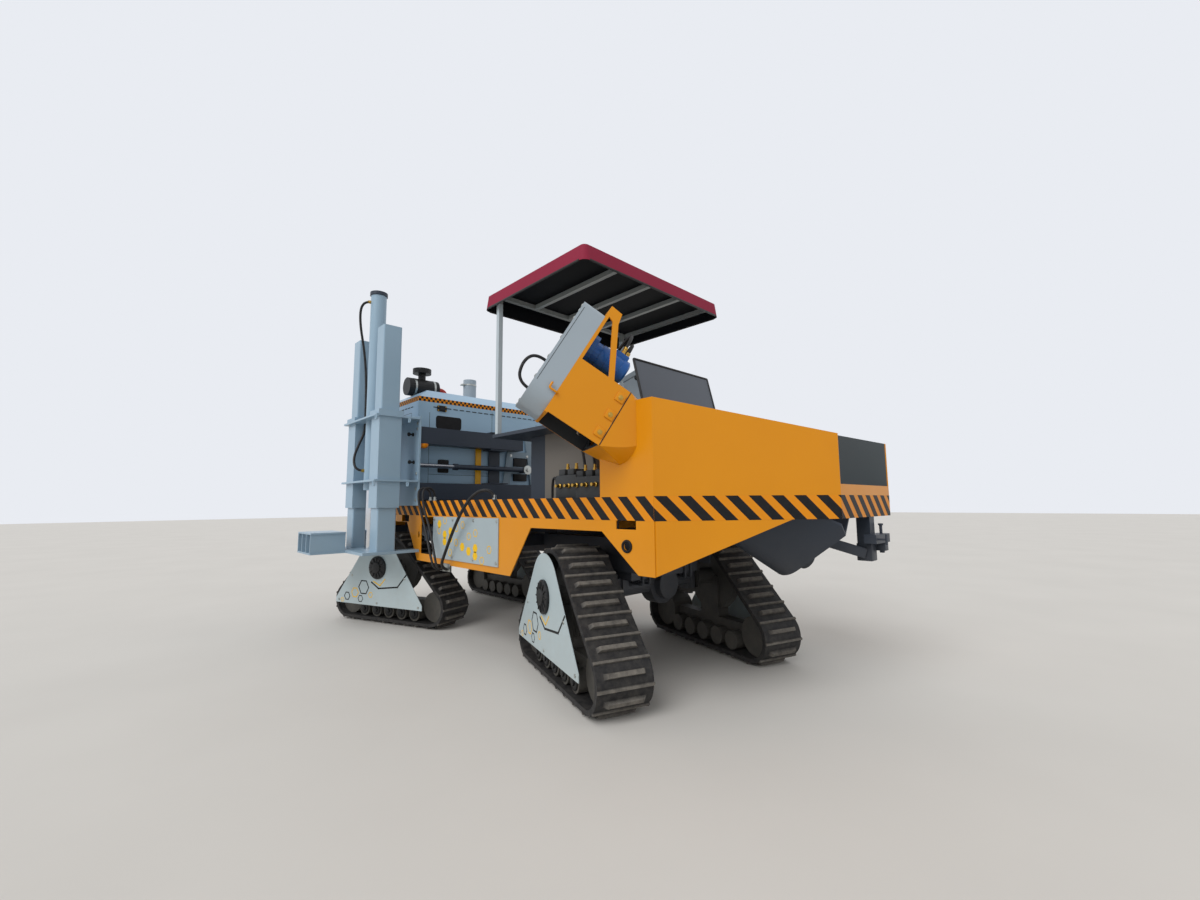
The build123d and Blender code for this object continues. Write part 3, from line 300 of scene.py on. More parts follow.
belt_rubber = moulded("belt_rubber", "212123", 0.62, 0.16, 7, crest=True)
hose_rubber = moulded("hose_rubber", "1d1d1f", 0.45, 0.1, 6)
black_plastic = moulded("black_moulded_plastic", "1b1c1e", 0.4, 0.05, 5)
red_hose_rubber = moulded("red_silicone_hose", "b03228", 0.4, 0.05, 5)
tape_black = moulded("black_film", "0d0d10", 0.5, 0.03, 12)
tape_orange = moulded("orange_film", "df8a08", 0.45, 0.03, 12)
film_yellow = moulded("yellow_film", "ecbc18", 0.45, 0.03, 12)
lamp_orange = moulded("orange_lamp_lens", "e88a10", 0.25, 0.02, 12)
screen_glass = moulded("dark_screen_glass", "0e1418", 0.12, 0.03, 12)
print("moulded finishes ready")

# %% [markdown]
# Each solid gets the finish of the real piece in its own material slots. The solids keep their mesh
# and place: only the slot's material changes.

# %% Finishes of the solids
track_names = ("front_left", "front_right", "rear_left", "rear_right")
finish_of = {
    yellow: ["side_skirt_left", "side_skirt_right", "rear_skirt"],
    hopper_paint: ["hopper_bin"],
    head_paint: ["auger_head"],
    hood_paint: ["engine_hood"],
    panel_grey: ["side_panel"],
    cover_grey: ["track_cover_" + track for track in track_names],
    leg_grey: ["leg_sleeves", "leg_barrel", "leg_tube_front", "leg_tube_back", "leg_foot"],
    light_grey: ["chain_case", "exhaust_stack", "operator_console"],
    frame_grey: ["canopy_frame"],
    bracket_grey: ["slide_bracket"],
    pole_yellow: ["guard_post"],
    slate: ["chassis_frame", "deck_plate", "hopper_chute", "slide_frame", "slide_beam_lower",
            "slide_beam_upper", "trough_bearing", "front_axle", "rear_axle", "slide_barrel",
            "sensor_bracket", "platform"],
    flap_grey: ["hopper_flap"],
    tank_grey: ["hydraulic_tank"],
    canopy_sheet: ["canopy_roof"],
    motor_blue: ["gear_motor"],
    iron_paint: ["engine_block", "valve_block"] + ["track_frame_" + track for track in track_names],
    worn_steel: ["auger_screw"],
    chrome: ["leg_rod", "slide_rod"],
    belt_rubber: ["track_belt_" + track for track in track_names],
    black_plastic: ["air_cleaner"],
}
dressed = set()
for material, names in finish_of.items():
    for name in names:
        for slot in nodes[name].material_slots:
            slot.material = material
        dressed.add(name)
print("dressed", len(dressed), "left", sorted(set(nodes) - dressed))

# %% [markdown]
# A pale floor and an even sky light the machine. A wide soft lamp from the left gives the sides their
# difference in tone, as the bright sky does outdoors. The background the camera sees comes from its
# own strength, through Light Path, so it adds no light to the machine.

# %% Floor, sky and lamp
floor_material, floor_tree, floor_shader, floor_place = blank("pale_floor", Roughness=0.8)
floor_cloud = put(floor_tree, "ShaderNodeTexNoise", {"Vector": floor_place, "Scale": 0.8, "Detail": 4.0})
floor_tone = put(floor_tree, "ShaderNodeMix", {0: floor_cloud.outputs["Fac"], 6: linear("c9c6c1"),
                                               7: linear("d3d0cb")}, data_type="RGBA")
fill(floor_tree, floor_shader, {"Base Color": floor_tone})
floor_mesh = bpy.data.meshes.new("floor")
floor_reach, floor_z = 60, -0.001
floor_mesh.from_pydata([(x * floor_reach, y * floor_reach, floor_z)
                        for x, y in ((-1, -1), (1, -1), (1, 1), (-1, 1))], [], [(0, 1, 2, 3)])
floor_mesh.materials.append(floor_material)
floor = add_object("floor", floor_mesh)

world = bpy.data.worlds.new("sky")
world.use_nodes = True
sky = world.node_tree
sky.nodes.clear()
rays = put(sky, "ShaderNodeLightPath")
seen = put(sky, "ShaderNodeMath", {0: rays.outputs["Is Camera Ray"], 1: rays.outputs["Is Glossy Ray"]},
           operation="MAXIMUM")
seen = put(sky, "ShaderNodeMath", {0: seen, 1: rays.outputs["Is Transmission Ray"]}, operation="MAXIMUM")
light = put(sky, "ShaderNodeBackground", {"Color": (1, 1, 1, 1), "Strength": 0.68})
backdrop = put(sky, "ShaderNodeBackground", {"Color": linear("e9ecf2"), "Strength": 1.0})
chosen = put(sky, "ShaderNodeMixShader", {0: seen, 1: light, 2: backdrop})
put(sky, "ShaderNodeOutputWorld", {"Surface": chosen})
bpy.context.scene.world = world

lamp_data = bpy.data.lights.new("sun_through_cloud", "SUN")
lamp_data.energy, lamp_data.angle = 1.5, math.radians(40)
lamp = add_object("sun_through_cloud", lamp_data)
lamp.rotation_euler = Vector((-0.95, -0.2, 0.9)).to_track_quat("Z", "Y").to_euler()
bpy.context.scene.view_settings.view_transform = "Standard"
print("floor and light ready")

# %% [markdown]
# Most small pieces are plates, blocks and turned parts. Three helpers build such shapes in one bmesh,
# each closed, the blocks with their edges broken by a bevel, and a fourth turns the finished shape into
# a piece that rides on its body. Several shapes of one finish go in one piece.

# %% Shape helpers
def add_block(shape, low, high, edge=0.003, place=machine):
    """Block between two corners with its edges broken by a small bevel."""
    centre, size = (Vector(low) + Vector(high)) / 2, Vector(high) - Vector(low)
    made = bmesh.ops.create_cube(shape, size=1, matrix=place @ Matrix.Translation(centre)
                                 @ Matrix.Diagonal((*size, 1)))
    if edge:
        edges = list({e for v in made["verts"] for e in v.link_edges})
        bmesh.ops.bevel(shape, geom=edges, offset=min(edge, min(size) * 0.4), segments=2, profile=0.5,
                        affect="EDGES", offset_type="OFFSET")


def skin(shape, rings):
    """Faces between rings of points, closed at both ends."""
    for lower, upper in zip(rings, rings[1:]):
        for i in range(len(lower)):
            j = (i + 1) % len(lower)
            shape.faces.new((lower[i], lower[j], upper[j], upper[i]))
    shape.faces.new(list(reversed(rings[0])))
    shape.faces.new(rings[-1])


def around(count):
    """Angles of the corners of a regular ring."""
    return [2 * math.pi * i / count for i in range(count)]


def add_turned(shape, profile, place=Matrix(), steps=32):
    """Turned part: a profile of (radius, height) points spun round Z."""
    skin(shape, [[shape.verts.new(place @ Vector((radius * math.cos(a), radius * math.sin(a), height)))
                  for a in around(steps)] for radius, height in profile])


def add_plate(shape, outline, thickness, place=Matrix()):
    """Flat plate: an outline of (x, y) points, raised by its thickness."""
    skin(shape, [[shape.verts.new(place @ Vector((x, y, z))) for x, y in outline] for z in (0, thickness)])


def keep(shape, name, material, body="chassis"):
    """Turn the shape into a finished piece at the origin, with smooth rounds and sharp corners."""
    bmesh.ops.recalc_face_normals(shape, faces=shape.faces)
    mesh = bpy.data.meshes.new(name)
    shape.to_mesh(mesh)
    shape.free()
    keep_mesh(mesh, name, material, body)


def keep_mesh(mesh, name, material, body):
    """Give a mesh its finish, smooth it up to 35 degrees and let it ride."""
    mesh.materials.clear()
    mesh.materials.append(material)
    for face in mesh.polygons:
        face.use_smooth = True
    mesh.set_sharp_from_angle(angle=math.radians(35))
    piece = add_object(name, mesh)
    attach(piece, body)


def on_face(origin, normal, up=(0, 0, 1)):
    """Place whose Z leaves a face along its normal and whose Y runs up the face."""
    z = Vector(normal).normalized()
    x = Vector(up).cross(z).normalized()
    return axes_at(origin, x, z.cross(x), z)


print("helpers ready")

# %% [markdown]
# The hazard tape runs round the body at the deck line: black parallelograms on orange film, 150 mm
# apart, at 45 degrees. On the real machine the film is one strip laid round the corners, so the
# pattern is worked out on the unrolled strip, cut where the strip bends, and then laid back on the
# faces. Thin closed plates give a film that stays crisp from any distance.

# %% Hazard tape
tape_low, tape_high, tape_pitch, tape_black_share = 1.180, 1.330, 0.150, 0.54
film_thickness, stripe_thickness, corner_gap = 0.0004, 0.0009, 0.0005
tape_path = [Vector(p) for p in ((side_x, end_y), (side_x, corner_y), (nose_x, nose_y), (right_x, nose_y),
                                 (right_x, end_y), (side_x, end_y))]


def clip(outline, t0, t1):
    """Part of a convex outline between two distances along the strip."""
    for limit, sign in ((t0, 1), (t1, -1)):
        kept = []
        for (ta, za), (tb, zb) in zip(outline, outline[1:] + outline[:1]):
            ina, inb = sign * (ta - limit) >= 0, sign * (tb - limit) >= 0
            if ina:
                kept.append((ta, za))
            if ina != inb:
                k = (limit - ta) / (tb - ta)
                kept.append((limit, za + k * (zb - za)))
        outline = kept
        if len(outline) < 3:
            return []
    return outline


film, stripes = bmesh.new(), bmesh.new()
# distances along the strip count from the near corner, so the first face starts below zero
start = -body_length
black, slant = tape_pitch * tape_black_share, tape_high - tape_low
for first, second in zip(tape_path, tape_path[1:]):
    run = (second - first).length
    along = (second - first) / run
    face = on_face((*first, 0), (along.y, -along.x, 0))
    add_plate(film, [(0, tape_low), (run, tape_low), (run, tape_high), (0, tape_high)], film_thickness, face)
    index = math.floor((start - 2 * tape_pitch) / tape_pitch)
    while index * tape_pitch < start + run + 2 * tape_pitch:
        t = index * tape_pitch
        outline = [(t, tape_high), (t + black, tape_high), (t + black + slant, tape_low),
                   (t + slant, tape_low)]
        outline = clip(outline, start + corner_gap, start + run - corner_gap)
        if outline:
            add_plate(stripes, [(x - start, z) for x, z in outline], stripe_thickness, face)
        index += 1
    start += run
keep(film, "hazard_film", tape_orange)
keep(stripes, "hazard_stripes", tape_black)
print("tape length", round(start + body_length, 2), "m")

# %% [markdown]
# What repeats is grown by Geometry Nodes. A tree takes a seed, such as a few points that know which way
# they face, and sets a shape on each. Its sizes are named inputs, so one tree serves every row of bolts.
# The grown result is kept as a plain mesh, because an exported model holds no node trees.

# %% Geometry trees and their runner
def growth(name, sizes):
    """New geometry tree with a seed, a finish and named sizes as inputs; returns it and those sockets."""
    tree = bpy.data.node_groups.new(name, "GeometryNodeTree")
    for label, kind in (("Seed", "NodeSocketGeometry"), ("Finish", "NodeSocketMaterial")):
        tree.interface.new_socket(label, in_out="INPUT", socket_type=kind)
    for label, value in sizes.items():
        tree.interface.new_socket(label, in_out="INPUT", socket_type="NodeSocketFloat").default_value = value
    tree.interface.new_socket("Grown", in_out="OUTPUT", socket_type="NodeSocketGeometry")
    return tree, put(tree, "NodeGroupInput").outputs


def end_growth(tree, given, shapes):
    """Join the shapes, make the instances real, give them the finish and end the tree."""
    joined = put(tree, "GeometryNodeJoinGeometry")
    for shape in shapes:
        fill(tree, joined, {0: shape})
    real = put(tree, "GeometryNodeRealizeInstances", {0: joined})
    finished = put(tree, "GeometryNodeSetMaterial", {"Geometry": real, "Material": given["Finish"]})
    put(tree, "NodeGroupOutput", {0: finished})


def grow(tree, seed, finish, sizes):
    """Run a tree on a seed and return the plain mesh that it makes."""
    host = add_object("seed", seed)
    modifier = host.modifiers.new("growth", "NODES")
    modifier.node_group = tree
    values = dict(sizes, Finish=finish)
    for item in tree.interface.items_tree:
        if item.in_out == "INPUT" and item.name in values:
            modifier[item.identifier] = values[item.name]
    graph = bpy.context.evaluated_depsgraph_get()
    mesh = bpy.data.meshes.new_from_object(host.evaluated_get(graph), depsgraph=graph)
    host.modifiers.remove(modifier)
    bpy.data.objects.remove(host)
    return mesh


def facing_points(places):
    """Seed of points, each with the direction that it faces, from a list of (point, direction)."""
    seed = bpy.data.meshes.new("facing_points")
    seed.from_pydata([tuple(point) for point, _ in places], [], [])
    facing = seed.attributes.new("facing", "FLOAT_VECTOR", "POINT")
    for item, (_, direction) in zip(facing.data, places):
        item.vector = Vector(direction).normalized()
    return seed


def set_on_faces(tree, given, shape):
    """Set a shape on each seed point: its Z along facing, its Y upright where the face stands."""
    facing = put(tree, "GeometryNodeInputNamedAttribute", {"Name": "facing"}, data_type="FLOAT_VECTOR")
    outwards = put(tree, "FunctionNodeAlignRotationToVector", {"Vector": facing}, axis="Z")
    upright = put(tree, "FunctionNodeAlignRotationToVector", {"Rotation": outwards, "Vector": (0, 0, 1)},
                  axis="Y", pivot_axis="Z")
    return put(tree, "GeometryNodeInstanceOnPoints", {"Points": given["Seed"], "Instance": shape,
                                                      "Rotation": upright})


bolt_tree, given = growth("bolts", {"Head radius": 0.012, "Head height": 0.016, "Washer radius": 0.019})
hexagon = put(bolt_tree, "GeometryNodeMeshCylinder", {"Vertices": 6, "Radius": given["Head radius"],
                                                      "Depth": given["Head height"]})
washer = put(bolt_tree, "GeometryNodeMeshCylinder", {"Vertices": 16, "Radius": given["Washer radius"],
                                                     "Depth": 0.005})
end_growth(bolt_tree, given, [set_on_faces(bolt_tree, given, part) for part in (hexagon, washer)])

block_tree, given = growth("blocks", {"Width": 0.05, "Height": 0.02, "Depth": 0.004})
block_size = put(block_tree, "ShaderNodeCombineXYZ", {0: given["Width"], 1: given["Height"],
                                                      2: given["Depth"]})
block = put(block_tree, "GeometryNodeMeshCube", {"Size": block_size})
end_growth(block_tree, given, [set_on_faces(block_tree, given, block)])


def set_bolts(name, places, radius, finish=zinc, body="chassis"):
    """Hexagon bolts with washers. Half of each head's depth lies in the plate."""
    sizes = {"Head radius": radius, "Head height": 1.3 * radius, "Washer radius": 1.6 * radius}
    keep_mesh(grow(bolt_tree, facing_points(places), finish, sizes), name, finish, body)


def set_blocks(name, places, width, height, depth, finish, body="chassis"):
    """Blocks centred on their points."""
    sizes = {"Width": width, "Height": height, "Depth": depth}
    keep_mesh(grow(block_tree, facing_points(places), finish, sizes), name, finish, body)


print("trees", [tree.name for tree in bpy.data.node_groups])

# %% [markdown]
# The lugs are the part of a track that catches the eye: low bars across the whole belt alternate with
# shorter blocks whose ends slope. The tree walks the belt's outer line, a closed curve of four arcs and
# three straights, and stands a tapered block on every second point. Each block stores how high up a
# point lies, and the rubber's finish turns those crests pale.

# %% Belt lugs
def belt_line(steps=24):
    """Outer line of the belt in its own Y and Z, from the top towards +Y and round."""
    sprocket_r, sprocket_z, idler_r, idler_y, idler_z = 0.340, 0.620, 0.190, 0.630, 0.216
    drop = sprocket_z - idler_z
    lean = math.acos((sprocket_r - idler_r) / math.hypot(idler_y, drop)) - math.atan2(drop, idler_y)
    arcs = [
        # centre, radius, first and last angle
        ((0, sprocket_z), sprocket_r, math.pi / 2, lean),
        ((idler_y, idler_z), idler_r, lean, -math.pi / 2),
        ((-idler_y, idler_z), idler_r, -math.pi / 2, -math.pi - lean),
        ((0, sprocket_z), sprocket_r, math.pi - lean, math.pi / 2),
    ]
    line = []
    for (y, z), radius, first, last in arcs:
        for i in range(steps + 1):
            angle = first + (last - first) * i / steps
            line.append((0, y + radius * math.cos(angle), z + radius * math.sin(angle)))
    return line[:-1]


def tapered(tree, width, thickness, height, lean_x, lean_y, sink=0.004):
    """Block on the XY plane that narrows upwards and stores its height share as crest."""
    size = put(tree, "ShaderNodeCombineXYZ", {0: width, 1: thickness, 2: height})
    cube = put(tree, "GeometryNodeMeshCube", {"Size": size})
    place = put(tree, "GeometryNodeInputPosition")
    level = put(tree, "ShaderNodeSeparateXYZ", {0: place}).outputs[2]
    share = put(tree, "ShaderNodeMath", {0: level, 1: height}, operation="DIVIDE")
    share = put(tree, "ShaderNodeMath", {0: share, 1: 0.5}, operation="ADD")
    marked = put(tree, "GeometryNodeStoreNamedAttribute", {0: cube, 2: "crest", 3: share},
                 data_type="FLOAT", domain="POINT")
    narrow = [put(tree, "ShaderNodeMath", {0: share, 1: -lean, 2: 1.0}, operation="MULTIPLY_ADD")
              for lean in (lean_x, lean_y)]
    scale = put(tree, "ShaderNodeCombineXYZ", {0: narrow[0], 1: narrow[1], 2: 1.0})
    half = put(tree, "ShaderNodeMath", {0: height, 1: 0.5, 2: -sink}, operation="MULTIPLY_ADD")
    lift = put(tree, "ShaderNodeCombineXYZ", {2: half})
    moved = put(tree, "ShaderNodeVectorMath", {0: place, 1: scale, 2: lift}, operation="MULTIPLY_ADD")
    return put(tree, "GeometryNodeSetPosition", {"Geometry": marked, "Position": moved})


lug_sizes = {"Places": 104.0, "Lug width": 0.290, "Lug thickness": 0.038, "Lug height": 0.0306,
             "Bar width": 0.383, "Bar thickness": 0.025, "Bar height": 0.0166}
lug_tree, given = growth("belt_lugs", lug_sizes)
walk = put(lug_tree, "GeometryNodeResampleCurve", {"Curve": given["Seed"], "Count": given["Places"]})
along = put(lug_tree, "GeometryNodeInputTangent")
upright = put(lug_tree, "FunctionNodeAlignRotationToVector", {"Vector": along}, axis="Y", pivot_axis="X")
number = put(lug_tree, "GeometryNodeInputIndex")
turn_of = put(lug_tree, "ShaderNodeMath", {0: number, 1: 4.0}, operation="MODULO")
kinds = []
for key, remainder, lean_x, lean_y in (("Lug", 1.0, 0.18, 0.28), ("Bar", 3.0, 0.003, 0.38)):
    chosen = put(lug_tree, "FunctionNodeCompare", {0: turn_of, 1: remainder}, data_type="FLOAT",
                 operation="EQUAL")
    shape = tapered(lug_tree, given[key + " width"], given[key + " thickness"], given[key + " height"],
                    lean_x, lean_y)
    kinds.append(put(lug_tree, "GeometryNodeInstanceOnPoints", {
        "Points": walk, "Selection": chosen, "Instance": shape, "Rotation": upright}))
end_growth(lug_tree, given, kinds)

line = bpy.data.curves.new("belt_line", "CURVE")
line.dimensions = "3D"
spline = line.splines.new("POLY")
points = belt_line()
spline.points.add(len(points) - 1)
for point, place in zip(spline.points, points):
    point.co = (*place, 1)
spline.use_cyclic_u = True


def kingpin(x, y, steer):
    """Place of a kingpin on the ground, turned as its track is steered at rest."""
    return Matrix.Translation(spot(x, y, 0)) @ Matrix.Rotation(math.radians(steer), 4, "Z")


tracks = {
    # kingpin, outboard side, and how far out lie the belt's middle, the cover's outer face and that of
    # the rollers
    "front_left": (kingpin(0.460, 0.850, -19), -1, 0.290, 0.526, 0.440),
    "front_right": (kingpin(1.470, 0.850, -17), 1, 0.290, 0.526, 0.440),
    "rear_right": (kingpin(1.470, 4.180, 0), 1, 0.290, 0.526, 0.440),
    "rear_left": (kingpin(-0.170, 3.720, 20), -1, -0.250, 0.066, -0.100),
}
lugs = grow(lug_tree, line, belt_rubber, lug_sizes)
for suffix, (pin, side, middle, _, _) in tracks.items():
    mesh = lugs.copy()
    mesh.transform(pin @ Matrix.Translation((side * middle, 0, 0)))
    keep_mesh(mesh, "belt_lugs_" + suffix, belt_rubber, "track_" + suffix)
print("lug faces on each belt", len(lugs.polygons))

# %% [markdown]
# Each track's outer side has a ribbed black hub, five rollers with caps that show below the cover, and
# screws at the cover's corners. A few hexagons and lines of film decorate the cover. All are described
# once in the track's own frame, with X outboard from the kingpin, and placed by each track's matrix.

# %% Hubs, roller caps and cover screws
def hexagon_points(x, y, radius):
    """Corners of a regular hexagon round x, y."""
    return [(x + radius * math.cos(a), y + radius * math.sin(a)) for a in around(6)]


def add_hexagon(shape, x, y, radius, band, place, film=0.0006):
    """Flat hexagon of film at x, y: filled if band is None, or else an outline that is band wide."""
    outer = hexagon_points(x, y, radius)
    if band is None:
        return add_plate(shape, outer, film, place)
    inner = hexagon_points(x, y, radius - band)
    for i in range(6):
        j = (i + 1) % 6
        add_plate(shape, [inner[i], outer[i], outer[j], inner[j]], film, place)


def add_stroke(shape, points, width, place, film=0.0006):
    """Line of film through points, with square ends."""
    for a, b in zip(points, points[1:]):
        run = (Vector(b) - Vector(a)).normalized() * width / 2
        across = Vector((-run.y, run.x))
        start, end = Vector(a) - run, Vector(b) + run
        add_plate(shape, [start - across, end - across, end + across, start + across], film, place)


cover_livery = [
    # y, z, radius, band of the outline, and whether it is black
    (0.21, 0.40, 0.085, 0.014, True), (0.345, 0.335, 0.060, 0.012, False),
    (0.255, 0.275, 0.042, 0.010, True), (0.47, 0.29, 0.050, 0.012, True),
    (0.545, 0.245, 0.026, 0.008, False), (0.10, 0.325, 0.034, 0.009, False),
]
hub_z, roller_z, roller_pitch = 0.620, 0.1343, 0.190
for suffix, (pin, side, _, cover_out, roller_out) in tracks.items():
    place, body = pin @ Matrix.Diagonal((side, 1, 1, 1)), "track_" + suffix
    hub = bmesh.new()
    face = place @ on_face((cover_out, 0, hub_z), (1, 0, 0))
    add_turned(hub, [(0.122, 0), (0.122, 0.016), (0.112, 0.022), (0.062, 0.022), (0.058, 0.034),
                     (0.03, 0.038)], face)
    for angle in around(12):
        add_block(hub, (0.064, -0.004, 0.018), (0.108, 0.004, 0.030), 0.001,
                  face @ Matrix.Rotation(angle, 4, "Z"))
    keep(hub, "hub_" + suffix, black_plastic, body)
    caps = bmesh.new()
    for i in range(5):
        cap = place @ on_face((roller_out, (i - 2) * roller_pitch, roller_z), (1, 0, 0))
        add_turned(caps, [(0.056, 0), (0.056, 0.008), (0.050, 0.012), (0.026, 0.012), (0.024, 0.022),
                          (0.016, 0.024)], cap, 20)
    keep(caps, "roller_caps_" + suffix, black_plastic, body)
    turned = place.to_3x3() @ Vector((1, 0, 0))
    corners = [(0.60, 0.245), (-0.60, 0.245), (0.0, 0.245), (0.40, 0.52), (-0.40, 0.52)]
    heads = [(place @ Vector((cover_out, y, z)), turned) for y, z in corners]
    set_bolts("cover_screws_" + suffix, heads, 0.008, body=body)
    black, bright = bmesh.new(), bmesh.new()
    sheet_face = place @ on_face((cover_out, 0, 0), (1, 0, 0))
    for y, z, radius, band, dark in cover_livery:
        add_hexagon(black if dark else bright, y, z, radius, band, sheet_face)
    add_stroke(black, [(-0.42, 0.56), (-0.30, 0.43), (-0.02, 0.40), (0.09, 0.46)], 0.016, sheet_face)
    add_stroke(bright, [(-0.11, 0.50), (-0.04, 0.43), (0.06, 0.47)], 0.012, sheet_face)
    keep(black, "cover_lines_" + suffix, tape_black, body)
    keep(bright, "cover_cells_" + suffix, film_yellow, body)
print("tracks dressed", len(tracks))

# %% [markdown]
# The grey side panel carries a loose field of hexagon cells, some filled and some only outlined, all in
# yellow film. The cells sit on a honeycomb, which keeps their edges parallel, and a short table picks
# which places are taken.

# %% Side panel
panel = on_face(spot(-0.010, 2.280, 0.970), (-1, 0, 0))
full_radius, open_radius, open_band, pitch_x, pitch_y = 0.04216, 0.03844, 0.009, 0.115, 0.066
cells = [
    # column, row, filled
    (-4, 2, True), (-4, 1, False), (-3, 2, False), (-3, 0, True), (-3, -1, True), (-2, 1, True),
    (-2, 0, True), (-2, -2, False), (-1, 1, False), (-1, -1, False), (0, 2, False), (0, -1, True),
    (1, 0, False), (1, -2, True), (2, -1, True), (2, -2, True), (2, 1, False), (3, -3, False),
    (4, -1, False),
]
field = bmesh.new()
for column, row, filled in cells:
    radius, band = (full_radius, None) if filled else (open_radius, open_band)
    add_hexagon(field, column * pitch_x, (2 * row + column % 2) * pitch_y / 2, radius, band, panel)
keep(field, "panel_cells", film_yellow)
panel_screws = [(spot(-0.010, y, z), (-1, 0, 0)) for y in (1.71, 2.09, 2.47, 2.85) for z in (0.80, 1.145)]
set_bolts("panel_screws", panel_screws, 0.009)
print("cells", len(cells))

# %% [markdown]
# The engine hood is folded sheet with a checker band below its chamfer, a row of short louvres whose
# slots are black blocks of painted shade, doors whose seams show as dark lines, a rounded window
# opening painted as a black plate of shade, and recessed black latches. Seams are thin dark strips a
# little proud of the sheet, because a real gap of 3 mm would need the solid to be cut.

# %% Hood band, louvres and seams
hood_left, hood_right = side_x + 0.044, side_x + 1.874
hood_front, hood_back = corner_y + 3.420, end_y - 0.040
hood_faces = [
    # start of the face, its length, direction it faces
    ((hood_left, hood_front, 0), hood_right - hood_left, (0, -1, 0)),
    ((hood_left, hood_back, 0), hood_back - hood_front, (-1, 0, 0)),
    ((hood_right, hood_front, 0), hood_back - hood_front, (1, 0, 0)),
    ((hood_right, hood_back, 0), hood_right - hood_left, (0, 1, 0)),
]
square, band_mid, band_end, band_thickness = 0.0265, 2.478, 0.001, 0.0005
louvre_start, louvre_margins, louvre_pitch, louvre_z = 0.2, 0.25, 0.082, 2.398
low, high = band_mid - square, band_mid + square
band, checks, louvre_shade_blocks = bmesh.new(), [], []
for first, run, facing in hood_faces:
    flat = on_face(first, facing)
    add_plate(band, [(band_end, low), (run - band_end, low), (run - band_end, high), (band_end, high)],
              band_thickness, flat)
    for i in range(int(run / square)):
        up = band_mid + square * (0.5 if i % 2 else -0.5)
        checks.append((flat @ Vector(((i + 0.5) * square, up, 0)), facing))
    for i in range(int((run - louvre_margins) / louvre_pitch)):
        louvre_shade_blocks.append((flat @ Vector((louvre_start + i * louvre_pitch, louvre_z, 0)), facing))
keep(band, "hood_band", tape_orange)
set_blocks("hood_checks", checks, square, square, 0.002, tape_black)
# painted shade: black blocks stand for the shade inside the louvre slots
set_blocks("hood_louvre_slot_shade", louvre_shade_blocks, 0.055, 0.010, 0.006, black_plastic)

seams = bmesh.new()
door_low, door_high, seam, seam_thickness = 1.42, 2.33, 0.004, 0.0008
front_face = on_face(spot(0, 3.420, 0), (0, -1, 0))
for x0, z0, x1, z1 in ((0.175, door_low, 0.175, door_high), (0.985, door_low, 0.985, 2.42),
                       (0.175, 1.63, 0.985, 1.63), (1.66, door_low, 1.66, door_high),
                       (0.985, door_low, 1.66, door_low)):
    add_stroke(seams, [(x0, z0), (x1, z1)], seam, front_face, seam_thickness)
side_door = [(-0.50, door_low), (0.50, door_low), (0.50, door_high), (-0.50, door_high), (-0.50, door_low)]
for side_face in (on_face(spot(0.044, 4.10, 0), (-1, 0, 0)), on_face(spot(1.874, 4.10, 0), (1, 0, 0))):
    add_stroke(seams, side_door, seam, side_face, seam_thickness)
keep(seams, "hood_seams", black_plastic)


def round_corners(x0, z0, x1, z1, radius, steps=5):
    """Rectangle with round corners as a list of points."""
    outline = []
    for x, z, first in ((x1 - radius, z1 - radius, 0), (x0 + radius, z1 - radius, 90),
                        (x0 + radius, z0 + radius, 180), (x1 - radius, z0 + radius, 270)):
        for i in range(steps + 1):
            angle = math.radians(first + 90 * i / steps)
            outline.append((x + radius * math.cos(angle), z + radius * math.sin(angle)))
    return outline


# painted shade: a black plate stands for the dark of the rounded opening in the front face; the block beside
# it is the battery box
opening_shade = bmesh.new()
add_plate(opening_shade, round_corners(0.251, 2.157, 0.567, 2.305, 0.03), 0.003, front_face)
add_block(opening_shade, (1.30, 3.395, 1.58), (1.50, 3.419, 1.87), 0.004)
keep(opening_shade, "hood_opening_shade_and_battery_box", tape_black)
openings = bmesh.new()
for x0, z0, x1, z1 in ((0.261, 2.355, 0.376, 2.423), (0.284, 1.651, 0.414, 1.801)):
    add_plate(openings, round_corners(x0, z0, x1, z1, 0.014), 0.010, front_face)
    add_plate(openings, round_corners(x0 + 0.02, z0 + 0.015, x1 - 0.02, z1 - 0.015, 0.008), 0.018,
              front_face)
keep(openings, "hood_latches", black_plastic)
latch_screws = [(spot(x, 3.410, z), (0, -1, 0)) for x in (0.272, 0.365) for z in (2.366, 2.412)]
set_bolts("latch_screws", latch_screws, 0.005, brass)
first_slat, slat_pitch = 1.55, 0.055
slats = [(spot(0.96, 4.860, first_slat + i * slat_pitch), (0, 1, 0)) for i in range(13)]
set_blocks("radiator_slats", slats, 1.20, 0.022, 0.016, black_plastic)
print("checks", len(checks), "louvre_shade_blocks", len(louvre_shade_blocks))

# %% [markdown]
# Round bars, handles and rigid pipes are one helper: a ring of points carried along a path whose
# corners are rounded first, as a bending tool leaves them. The ring keeps its own side direction from
# step to step, so the bar doesn't twist.

# %% Bent bars
def rounded_path(points, radius, steps=5):
    """Polyline with its inner corners rounded."""
    points = [Vector(p) for p in points]
    path = [points[0]]
    for before, corner, after in zip(points, points[1:], points[2:]):
        start = corner + (before - corner).normalized() * radius
        end = corner + (after - corner).normalized() * radius
        for t in [i / steps for i in range(steps + 1)]:
            path.append(start * (1 - t) ** 2 + corner * 2 * t * (1 - t) + end * t ** 2)
    return path + [points[-1]]


